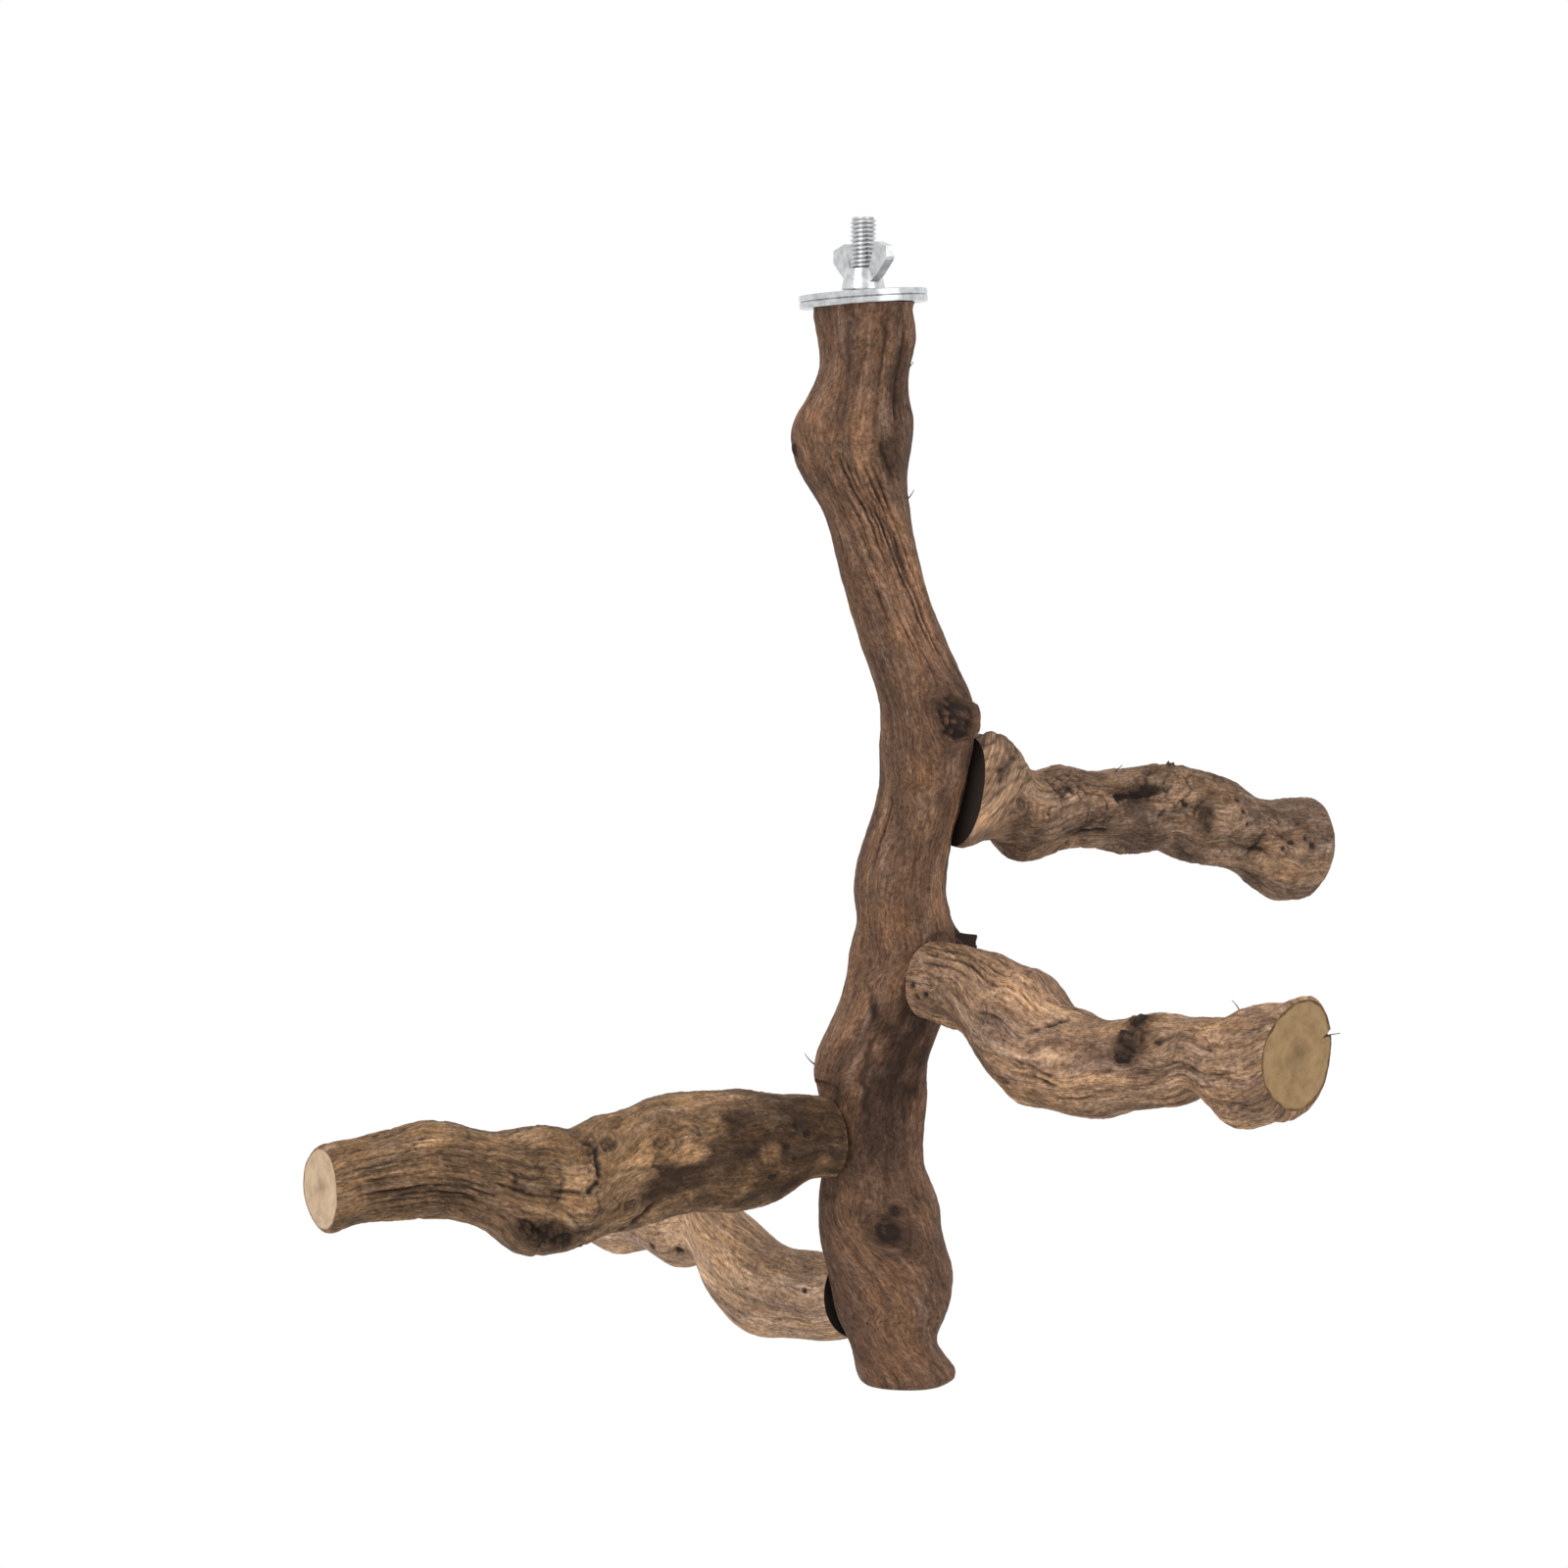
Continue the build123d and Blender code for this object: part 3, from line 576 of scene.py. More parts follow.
class Limb:
    """Rows of points wrapped on a limb's solid, with their places along and round it."""

    def __init__(self, node, row_step, ring_count):
        self.node = node
        self.start, self.along, self.side, self.lift = limb_frame(node)
        tree, corners = solid_tree(node)
        reaches = [(corner - self.start).dot(self.along) for corner in corners]
        self.span = max(reaches)
        self.ring_count = ring_count
        self.tilt = self.top_tilt(corners) if node == TRUNK else 0.0
        self.first = (self.trunk_top(corners) if node == TRUNK else min(reaches)) + END_MARGIN
        count = int((self.span - self.first) / row_step)
        self.rows = np.linspace(self.first, self.span - END_MARGIN, count)
        self.wrap(tree)

    def top_rim(self, corners):
        """Corners of the trunk's solid at its sawn top."""
        return [corner for corner in corners if corner.z > self.start.z - TOP_RIM]

    def top_tilt(self, corners):
        """Slope of the trunk's sawn top from left to right, as an angle."""
        rim = self.top_rim(corners)
        left = max((corner for corner in rim if corner.x < -TOP_SIDE), key=lambda corner: corner.z)
        right = max((corner for corner in rim if corner.x > TOP_SIDE), key=lambda corner: corner.z)
        return math.atan2(right.z - left.z, right.x - left.x)

    def trunk_top(self, corners):
        """How far down the trunk its sawn top crosses the stud's axis."""
        slope = math.tan(self.tilt)
        return self.start.z - max(corner.z - corner.x * slope for corner in self.top_rim(corners))

    def wrap(self, tree):
        """Cast rays inward, row by row, round a centre that follows the limb."""
        angles = np.linspace(0, 2 * math.pi, self.ring_count, endpoint=False)
        turns = [(math.cos(angle), math.sin(angle)) for angle in angles]
        centre = (0.0, 0.0)
        places, radii = [], []
        for row in self.rows:
            share = (row - self.first) / (self.span - self.first)
            lean = math.tan(self.tilt * max(0.0, 1 - share / LEAN_SHARE))
            middle = self.start + self.along * row
            for _ in range(CENTRE_TRIES):
                leaned = self.along * (centre[0] * lean)
                origin = middle + self.side * centre[0] + self.lift * centre[1] - leaned
                hits = []
                for cosine, sine in turns:
                    facing = self.side * cosine + self.lift * sine - self.along * (cosine * lean)
                    place = tree.ray_cast(origin + facing * RAY_REACH, -facing)[0]
                    hits.append(place if place is not None else origin + facing * MISSED_RADIUS)
                across = [((hit - middle).dot(self.side), (hit - middle).dot(self.lift)) for hit in hits]
                fresh = tuple(np.mean(across, axis=0))
                moved = math.dist(fresh, centre)
                centre = fresh
                if moved < CENTRE_STEP:
                    break
            places.append([tuple(hit) for hit in hits])
            radii.append([math.dist(point, centre) for point in across])
        self.places = np.array(places)
        self.points = self.places.reshape(-1, 3) / MM
        self.girth = float(np.median(radii))
        self.angles = np.broadcast_to(angles, self.places.shape[:2])
        self.alongs = np.broadcast_to(self.rows[:, None], self.places.shape[:2])

    def outward(self):
        """Directions from the limb's middle line through its points."""
        return (
            np.cos(self.angles)[..., None] * np.array(self.side)
            + np.sin(self.angles)[..., None] * np.array(self.lift)
        )

    def away(self, share, heading):
        """Distances along and round the limb, in metres, from a place on it."""
        turn = (self.angles - math.radians(heading) + math.pi) % (2 * math.pi) - math.pi
        return self.alongs - share * self.span, turn * self.girth

    def straightened(self, turns, shift=0):
        """The limb's points on a straight, round rod, in millimetres, at turns round it."""
        return np.stack([
            np.cos(turns) * self.girth / MM,
            np.sin(turns) * self.girth / MM,
            self.alongs / MM + shift,
        ], axis=-1).reshape(-1, 3)

    def noise(self, points, size, seed, layers=1):
        """Layered noise of a size at the limb's points, in rows as they are."""
        return layered_noise(points / np.array(size), seed, layers).reshape(self.angles.shape)

    def read(self, tables):
        """The limb's own table of shares and values, read all along it. Zero where it has none."""
        shares, values = zip(*tables.get(self.node, [(0, 0), (1, 0)]))
        return np.interp(self.alongs / self.span, shares, values)


def grain_places(limb, style):
    """Straightened places on a limb, in millimetres, whose long axis follows the grain round its knots."""
    flat = limb.straightened(limb.angles)
    wander = limb.noise(flat, (16, 16, 22), style["seed"], 2)
    wave = limb.noise(flat, (5, 5, 7), style["seed"] + 20)
    turn = limb.angles + (style["wander"] * wander + style["wave"] * wave) * MM / limb.girth
    turn = turn - np.radians(limb.read(GRAIN_TURNS))
    for share, heading, radius, _, kind in KNOTS[limb.node]:
        down, round_by = limb.away(share, heading)
        size = radius * MM * GRAIN_PUSH[kind]
        push = size ** 2 * round_by / (down ** 2 + round_by ** 2 + (0.5 * size) ** 2)
        turn = turn - push / limb.girth * np.exp(-(down / (5 * size)) ** 2)
    return limb.straightened(turn, style["seed"] * 100)


def crack_depths(limb, grain):
    """How deep the limb's cracks cut, in millimetres."""
    depth = np.zeros(limb.angles.shape)
    waver = limb.noise(grain, (6, 6, 9), 71)
    ragged = limb.noise(limb.points, 2.2, 73, 3)
    broken = smooth_step(-0.45, 0.1, limb.noise(grain, (2.5, 2.5, 9), 72))
    for from_share, from_heading, to_share, to_heading, width, deep in CRACKS[limb.node]:
        down, round_by = limb.away(from_share, from_heading)
        run = (to_share - from_share) * limb.span
        drift = math.radians(to_heading - from_heading) * limb.girth
        length = math.hypot(run, drift)
        part = (down * run + round_by * drift) / length ** 2
        aside = (round_by * run - down * drift) / length / MM
        aside = np.abs(aside + 0.6 * waver + 0.45 * width * ragged)
        taper = smooth_step(-0.05, 0.15, part) * smooth_step(-0.05, 0.2, 1 - part) * (0.3 + 0.7 * broken)
        depth = np.maximum(depth, (1 - smooth_step(0.25 * width, width, aside)) * taper * deep)
    return depth


def cell_distance(points, seed):
    """Distance from each point to the nearest of a scatter of points, one in each cell."""
    base = np.floor(points)
    nearest = np.full(len(points), 9.0)
    for corner in itertools.product((-1, 0, 1), repeat=3):
        cell = base + np.array(corner)
        spot = cell + 0.5 + 0.42 * np.stack([lattice_noise(cell, seed + axis) for axis in range(3)], axis=-1)
        nearest = np.minimum(nearest, np.linalg.norm(points - spot, axis=-1))
    return nearest


def knot_shapes(limb):
    """Height of the limb's knots in millimetres, and how dark they are from 0 to 1, partly painted shade."""
    height = np.zeros(limb.angles.shape)
    dark = np.zeros(limb.angles.shape)
    for index, (share, heading, radius, rise, kind) in enumerate(KNOTS[limb.node]):
        down, round_by = limb.away(share, heading)
        near = np.hypot(down, round_by) < 3.2 * radius * MM
        down, round_by = down[near] / MM, round_by[near] / MM
        spot = np.stack([down, round_by, np.full(down.shape, index * 9.0)], axis=-1)
        rough = layered_noise(spot / (0.4 * radius + 0.3), 5 + index, 3)
        far = np.hypot(down * 0.85, round_by) / radius + 0.22 * rough
        heart = 1 - smooth_step(0.55, 1.05, far)
        collar = np.exp(-((far - 1.05) / 0.36) ** 2)
        if kind == "burl":
            cells = cell_distance(spot / 1.7 + 0.25 * rough[:, None], 17 + index)
            nodule = 1 - smooth_step(0.1, 0.62, cells)
            gap = smooth_step(0.3, 0.6, cells)
            height[near] += heart * (0.6 * rise * nodule - 0.8 * gap) + 0.3 * rise * collar
            # Burl: the gaps between its nodules are painted shade
            shade = heart * (0.12 + 0.88 * gap) + 0.35 * collar * (0.5 - rough)
        elif kind == "scab":
            height[near] += heart * (rise + 0.9 * rough) - 0.4 * collar
            # Scab: dark over its heart, and painted shade in the groove round its foot
            shade = heart * np.clip(0.85 - 0.5 * rough, 0, 1) + 0.4 * collar
        elif kind == "lump":
            height[near] += rise * (1 - smooth_step(0.1, 1.4, far))
            shade = 0.12 * collar * (1 + rough)
        elif kind == "eye":
            cells = cell_distance(spot / (0.36 * radius), 17 + index)
            rings = 0.5 + 0.5 * np.cos(far * 14)
            inner = 1 - smooth_step(0.35, 0.75, far)
            hollow = 0.7 * min(1, radius / 3) * heart * (0.4 + 0.4 * rings + 0.4 * inner)
            height[near] += rise * collar - hollow
            specks = inner * (1 - smooth_step(0.15, 0.4, cells))
            halo = np.exp(-((far - 1.2) / 0.2) ** 2)
            shade = heart * (0.18 * radius + 0.25 * rings) + 0.08 * radius * inner
            shade = shade - 0.8 * specks + 0.3 * halo
        else:
            height[near] += rise * (1 - smooth_step(0.2, 1.3, far)) - 0.5 * heart * min(1, radius)
            # Pit: painted shade in its hollow
            shade = 0.95 * heart + 0.25 * collar
        dark[near] = np.maximum(dark[near], np.clip(shade, 0, 1))
    return height, dark


def patch_tones(limb, style):
    """Tone of the limb's dark and pale patches, from -1 to 1, some dark ones painted shadow. Later patches lie
    over earlier ones.
    """
    blotch = limb.noise(limb.points, 6, style["seed"] + 14, 3)
    tone = -style["blotch"] * smooth_step(0.05, 0.55, blotch)
    ragged = limb.noise(limb.points, 5, 43, 3)
    for share, heading, run, breadth, strength in PATCHES[limb.node]:
        down, round_by = limb.away(share, heading)
        far = np.hypot(down / run, round_by / breadth) / MM + 0.4 * ragged
        cover = 1 - smooth_step(0.5, 1.25, far)
        tone = tone * (1 - 0.7 * cover) + strength * cover
    return np.clip(tone, -1, 1)


def furrow(values, width):
    """1 where values cross zero, easing to 0 at a width from there."""
    return 1 - smooth_step(0.0, width, np.abs(values))


def carve(limb, style):
    """Carve a limb along its grain. Gives its places, grain, painted crevice shade, tones and how far flutes comb
    it.
    """
    seed = style["seed"]
    grain = grain_places(limb, style)
    points = limb.points
    fluted = limb.read(FLUTED)
    lump = limb.noise(points, 10, seed + 1, 2)
    flute = limb.noise(grain, (style["breadth"], style["breadth"], style["run"]), seed + 2, 3)
    flute_cut = furrow(flute, 0.22)
    flute_mask = smooth_step(-0.4, 0.4, limb.noise(points, 15, seed + 3))
    flute_mask = (0.3 + 0.7 * flute_mask) * fluted
    ridge = limb.noise(grain, (1.5, 1.5, 14), seed + 4, 2)
    fine = limb.noise(grain, (0.8, 0.8, 4), seed + 5, 2)
    grit = limb.noise(points, 1.7, seed + 13, 2)
    swirl = np.stack([lattice_noise(points / 8, seed + 6 + axis) for axis in range(3)], axis=-1)
    swirl = points + 3.0 * swirl
    fold = limb.noise(0.5 * swirl / 6.0 + 0.5 * grain / np.array([5, 5, 14]), 1, seed + 9, 2)
    fold_cut = furrow(fold, 0.2)
    fold_mask = smooth_step(-0.2, 0.35, limb.noise(points, 13, seed + 12)) * np.minimum(1, 1.4 * fluted)
    crease = limb.noise(0.6 * swirl / 2.6 + 0.4 * grain / np.array([2, 2, 8]), 1, seed + 16, 2)
    crease_mask = smooth_step(-0.3, 0.3, limb.noise(points, 7, seed + 18)) * limb.read(WRINKLED)
    wrinkle = style["wrinkle"] * crease_mask * furrow(crease, 0.16)
    cracks = crack_depths(limb, grain)
    knot_height, knot_dark = knot_shapes(limb)
    seat_ease = smooth_step(0, SEAT_EASE, limb.alongs - limb.first)
    ends = seat_ease * smooth_step(0, TIP_EASE, limb.span - limb.alongs)
    depth = (
        style["lump"] * (lump - 0.2)
        - style["flute"] * flute_cut * flute_mask
        + style["grain"] * (ridge + 0.5 * fine + 0.6 * grit)
        - style["fold"] * fold_cut * fold_mask
        - 0.3 * wrinkle
        - cracks
        + knot_height
    )
    depth = depth * (0.25 + 0.75 * ends) - 0.15 * (1 - ends)
    depth = depth + limb.read(SWELLS)
    carved = limb.places + limb.outward() * (depth * MM)[..., None]
    carved = carved + turned_tip(limb)[..., None] * np.array(limb.along)
    # Crevice: painted shade in flutes, folds, wrinkles and cracks, and where the grain dips; the knots' dark is
    # added below
    crevice = np.clip(
        0.6 * flute_cut ** 3 * flute_mask * min(1.0, style["flute"] / 0.3)
        + 0.8 * fold_cut ** 3 * fold_mask * min(1.0, style["fold"] / 0.6)
        + 0.75 * wrinkle
        + 1.1 * np.minimum(cracks, 1)
        + np.clip(-0.22 * ridge - 0.16 * fine - 0.2 * grit, 0, 0.4),
        0, 1,
    )
    return {
        "places": carved,
        "grain": grain.reshape(carved.shape),
        "crevice": np.maximum(crevice, knot_dark),
        "tone": patch_tones(limb, style),
        "combed": flute_mask,
    }


def turned_tip(limb):
    """How far each point moves along a limb to turn its sawn tip to the front."""
    aside = (limb.places - np.array(limb.start)) @ np.array(limb.side)
    aside = aside - aside.mean(axis=1, keepdims=True)
    near_tip = smooth_step(limb.span - TIP_RUN, limb.span, limb.alongs)
    return -aside * near_tip * math.tan(math.radians(TIP_TURNS.get(limb.node, 0)))


def hold_flats(limb, carved):
    """Keep the trunk behind the flats that its branches are seated on."""
    for node in BRANCHES:
        seat, along, _, _ = limb_frame(node)
        near = [vertex.co - seat for vertex in frame["nodes"][node].data.vertices]
        near = [offset for offset in near if offset.dot(along) < SEAT_RUN]
        radius = max((offset - along * offset.dot(along)).length for offset in near) + SEAT_MARGIN
        offset = carved - np.array(seat)
        proud = offset @ np.array(along)
        aside = np.linalg.norm(offset - proud[..., None] * np.array(along), axis=-1)
        under = (aside < radius) & (proud > -SEAT_GAP) & (proud < SEAT_HEIGHT)
        push = np.where(under, proud + SEAT_GAP, 0)
        carved = carved - push[..., None] * np.array(along)
    return carved


def limb_mesh(limb, carving, cap_loops):
    """Tube of the carved rows, closed by a sawn tip and by a seat painted as shadow, of many loops."""
    rows, ring = limb.angles.shape
    mesh = bmesh.new()
    layers = {name: mesh.verts.layers.float.new(name) for name in ("crevice", "tone", "combed")}
    layers["grain"] = mesh.verts.layers.float_vector.new("grain")
    bmesh.ops.create_grid(mesh, x_segments=ring, y_segments=rows - 1, size=1)
    grid = {}
    for vertex in mesh.verts:
        column = round((vertex.co.x + 1) / 2 * ring)
        row = round((vertex.co.y + 1) / 2 * (rows - 1))
        grid[row, column] = vertex
    for (row, column), vertex in grid.items():
        turn = column % ring
        vertex.co = carving["places"][row, turn]
        vertex[layers["grain"]] = carving["grain"][row, turn] * MM
        for name in ("crevice", "tone", "combed"):
            vertex[layers[name]] = carving[name][row, turn]
    seam = {grid[row, ring]: grid[row, 0] for row in range(rows)}
    bmesh.ops.weld_verts(mesh, targetmap=seam)
    middle = (limb.first + limb.span) / 2
    tip, seat = [], []
    for edge in mesh.edges:
        if edge.is_boundary:
            far = (edge.verts[0].co - limb.start).dot(limb.along) > middle
            (tip if far else seat).append(edge)
    close_end(mesh, limb, tip, layers, cap_loops, 1)
    # The seat end is closed in the material of painted shadow
    close_end(mesh, limb, seat, layers, cap_loops, 2)
    bmesh.ops.recalc_face_normals(mesh, faces=mesh.faces)
    return mesh


def of_kind(items, kind):
    """The vertices, edges or faces among the items that a mesh operator made."""
    return [item for item in items if isinstance(item, kind)]


def close_end(mesh, limb, loop, layers, cap_loops, material):
    """Sawn end inside a rim of edges: loops drawn in to its pith, in a material of its own."""
    rim = list({vertex for edge in loop for vertex in edge.verts})
    pith = sum((vertex.co for vertex in rim), Vector()) / len(rim)
    for edge in loop:
        edge.smooth = False
    shares = [RIM_SHARE] + [(cap_loops - step) / cap_loops for step in range(1, cap_loops)] + [0.0]
    before = 1.0
    for share in shares:
        made = bmesh.ops.extrude_edge_only(mesh, edges=loop)["geom"]
        for face in of_kind(made, bmesh.types.BMFace):
            face.material_index = material
        inner = of_kind(made, bmesh.types.BMVert)
        for vertex in inner:
            vertex.co = pith + (vertex.co - pith) * (share / before)
            offset = vertex.co - pith
            vertex[layers["grain"]] = Vector((offset.dot(limb.side), offset.dot(limb.lift), 0))
            vertex[layers["crevice"]] = 0.0
            vertex[layers["tone"]] = share
        before = share
        loop = [edge for edge in of_kind(made, bmesh.types.BMEdge) if edge.is_boundary]
    bmesh.ops.pointmerge(mesh, verts=inner, merge_co=pith)


def keep_piece(mesh, name, materials):
    """Store a finished bmesh as a smooth-shaded object at the origin."""
    data = bpy.data.meshes.new(name)
    mesh.to_mesh(data)
    mesh.free()
    for material in materials:
        data.materials.append(material)
    for face in data.polygons:
        face.use_smooth = True
    piece = bpy.data.objects.new(name, data)
    bpy.context.scene.collection.objects.link(piece)
    return piece


def set_inputs(tree, node, inputs):
    """Set a node's inputs by name or number: a socket is linked, and anything else is a value."""
    for key, value in inputs.items():
        if isinstance(value, bpy.types.NodeSocket):
            tree.links.new(value, node.inputs[key])
        else:
            node.inputs[key].default_value = value


def add_node(tree, kind, place, inputs=None, **settings):
    """Shader node of a kind, with its settings and its inputs."""
    node = tree.nodes.new(kind)
    node.location = place
    for key, value in settings.items():
        setattr(node, key, value)
    set_inputs(tree, node, inputs or {})
    return node


def attribute_node(tree, place, name, output="Fac"):
    """Value of one of a piece's attributes."""
    return add_node(tree, "ShaderNodeAttribute", place, attribute_name=name).outputs[output]


def math_node(tree, place, operation, *values):
    """Result of a sum with numbers or sockets."""
    return add_node(tree, "ShaderNodeMath", place, dict(enumerate(values)), operation=operation).outputs[0]


def noise_node(tree, place, vector, scale, detail, roughness, distortion=0.0):
    """Noise of a scale at a vector."""
    inputs = {
        "Vector": vector, "Scale": scale, "Detail": detail, "Roughness": roughness, "Distortion": distortion,
    }
    return add_node(tree, "ShaderNodeTexNoise", place, inputs).outputs["Fac"]


def bump_node(tree, height, strength, distance):
    """Normals of a surface with a height on it."""
    inputs = {"Height": height, "Strength": strength, "Distance": distance}
    return add_node(tree, "ShaderNodeBump", (300, -250), inputs).outputs["Normal"]


def new_material(name, inputs=None):
    """Node material with its Principled shader, whose inputs may be given, and its output."""
    material = bpy.data.materials.new(name)
    material.use_nodes = True
    tree = material.node_tree
    tree.nodes.clear()
    shader = add_node(tree, "ShaderNodeBsdfPrincipled", (600, 0), inputs)
    add_node(tree, "ShaderNodeOutputMaterial", (900, 0), {"Surface": shader.outputs["BSDF"]})
    return material, tree, shader


def grain_group():
    """Node group of wood grain: streaks, fibres, specks, dark lines and a height along a grain vector."""
    group = bpy.data.node_groups.new("limb_grain", "ShaderNodeTree")
    group.interface.new_socket("Grain", in_out="INPUT", socket_type="NodeSocketVector")
    for output in ("Streaks", "Broad", "Fibres", "Specks", "Lines", "Height"):
        group.interface.new_socket(output, in_out="OUTPUT", socket_type="NodeSocketFloat")
    entry = add_node(group, "NodeGroupInput", (-900, 0))
    layers = {}
    for index, (name, (size, detail, roughness, distortion)) in enumerate(GRAIN_LAYERS.items()):
        level = 300 - 300 * index
        inputs = {0: entry.outputs["Grain"], 1: size}
        place = add_node(group, "ShaderNodeVectorMath", (-650, level), inputs, operation="MULTIPLY")
        layers[name] = noise_node(group, (-400, level), place.outputs[0], 1.0, detail, roughness, distortion)
    centred = math_node(group, (-200, -300), "SUBTRACT", layers["Lines"], 0.5)
    aside = math_node(group, (-50, -300), "ABSOLUTE", centred)
    inputs = {"Value": aside, "From Max": 0.02}
    line = add_node(group, "ShaderNodeMapRange", (120, -300), inputs, interpolation_type="SMOOTHSTEP")
    layers["Lines"] = line.outputs["Result"]
    both = math_node(group, (300, 0), "MULTIPLY_ADD", layers["Fibres"], 0.5, layers["Streaks"])
    layers["Height"] = math_node(group, (480, -100), "MULTIPLY_ADD", layers["Lines"], 0.35, both)
    add_node(group, "NodeGroupOutput", (700, 0), layers)
    return group


def scaled(colour, factor, grey=0.0):
    """A colour made darker or lighter, and drawn towards its own grey."""
    level = sum(colour) / 3
    return tuple(min(1.0, (part * (1 - grey) + level * grey) * factor) for part in colour) + (1.0,)


def ramp_node(tree, place, factor, stops):
    """Colour at a factor on a ramp of places and colours."""
    ramp = add_node(tree, "ShaderNodeValToRGB", place, {"Fac": factor})
    elements = ramp.color_ramp.elements
    while len(elements) < len(stops):
        elements.new(0.5)
    for element, (position, colour) in zip(elements, stops):
        element.position = position
        element.color = colour
    return ramp.outputs["Color"]


def mix_node(tree, place, first, second, factor=1.0, blend="MULTIPLY"):
    """Two colours mixed. A colour mix has its factor at input 0 and its colours at 6 and 7."""
    inputs = {0: factor, 6: first, 7: second}
    return add_node(tree, "ShaderNodeMix", place, inputs, data_type="RGBA", blend_type=blend).outputs[2]


def bark_material(name, colour, crevice_colour, lines):
    """Weathered wood: streaks, fibres and lines along the grain, patches, some of them painted shadow, painted
    shade in crevices, and dark knots.
    """
    material, tree, shader = new_material(name)
    grain = attribute_node(tree, (-1500, 200), "grain", "Vector")
    wood = add_node(tree, "ShaderNodeGroup", (-1250, 200), {"Grain": grain}, node_tree=shared_group())
    streaks = ramp_node(tree, (-1000, 350), wood.outputs["Streaks"], [
        (0.28, scaled(colour, 0.58, -0.05)),
        (0.43, scaled(colour, 0.90)),
        (0.56, scaled(colour, 1.08, 0.10)),
        (0.72, scaled(colour, 1.62, 0.34)),
    ])
    place = add_node(tree, "ShaderNodeTexCoord", (-1500, 600)).outputs["Object"]
    mottle = noise_node(tree, (-1250, 600), place, 110.0, 3.0, 0.6)
    hues = ramp_node(tree, (-1000, 650), mottle, MOTTLE_TONES)
    surface = mix_node(tree, (-700, 450), streaks, hues, 0.9)
    for step, (output, stops) in enumerate(GRAIN_TONES.items()):
        tones = ramp_node(tree, (-1000, 150 - 120 * step), wood.outputs[output], stops)
        surface = mix_node(tree, (-560 + 80 * step, 300 - 60 * step), surface, tones)
    dark_lines = ramp_node(tree, (-700, -50), wood.outputs["Lines"], LINE_TONES)
    combed = attribute_node(tree, (-1500, -650), "combed")
    line_share = math_node(tree, (-500, -650), "MULTIPLY", combed, lines)
    surface = mix_node(tree, (-300, 250), surface, dark_lines, line_share)
    tone = attribute_node(tree, (-1500, -450), "tone")
    tone = add_node(tree, "ShaderNodeMapRange", (-1250, -450), {"Value": tone, "From Min": -1})
    patches = ramp_node(tree, (-1000, -250), tone.outputs["Result"], PATCH_TONES)
    surface = mix_node(tree, (-100, 200), surface, patches)
    # Painted shade in crevices, with the knots' dark, mixed over the wood
    crevice = attribute_node(tree, (-1500, -250), "crevice")
    surface = mix_node(tree, (120, 150), surface, tuple(crevice_colour) + (1.0,), crevice, "MIX")
    set_inputs(tree, shader, {
        "Base Color": surface,
        "Normal": bump_node(tree, wood.outputs["Height"], 0.5, 0.3 * MM),
        "Roughness": 0.78,
        "Specular IOR Level": 0.25,
    })
    return material


def sawn_material(name, colour, rim_colour):
    """Sawn end: growth rings round a dark pith, stains and a thin dark rim."""
    material, tree, shader = new_material(name)
    grain = attribute_node(tree, (-1100, 150), "grain", "Vector")
    blotch = noise_node(tree, (-850, 250), grain, 260.0, 4.0, 0.6)
    stains = ramp_node(tree, (-600, 250), blotch, [
        (0.30, scaled(colour, 0.72)), (0.52, scaled(colour, 1.0)), (0.75, scaled(colour, 1.18, 0.1)),
    ])
    inputs = {"Vector": grain, "Scale": 170.0, "Distortion": 3.0, "Detail": 3.0}
    rings = add_node(
        tree, "ShaderNodeTexWave", (-850, -50), inputs, wave_type="RINGS", rings_direction="Z",
    )
    ring_tone = ramp_node(tree, (-600, -50), rings.outputs["Fac"], RING_TONES)
    ringed = mix_node(tree, (-250, 150), stains, ring_tone)
    outward = attribute_node(tree, (-1100, -250), "tone")
    ragged = math_node(tree, (-850, -300), "MULTIPLY_ADD", blotch, 0.22, outward)
    ragged = math_node(tree, (-720, -300), "SUBTRACT", ragged, 0.11)
    edge = ramp_node(tree, (-600, -300), ragged, [
        (0.04, (0.66, 0.64, 0.64, 1)), (0.40, (0.98, 0.97, 0.96, 1)), (0.93, PLAIN),
        (0.985, tuple(rim_colour) + (1.0,)),
    ])
    set_inputs(tree, shader, {
        "Base Color": mix_node(tree, (100, 100), ringed, edge),
        "Normal": bump_node(tree, blotch, 0.25, 0.2 * MM),
        "Roughness": 0.8,
        "Specular IOR Level": 0.2,
    })
    return material


def seat_material(colour):
    """Ends that sit against another part, a branch's butt on the trunk and the trunk's top under the washers,
    painted near black as the shadow there.
    """
    inputs = {"Base Color": scaled(colour, 0.9), "Roughness": 0.9}
    return bpy.data.materials.get("seat_painted_shadow") or new_material("seat_painted_shadow", inputs)[0]


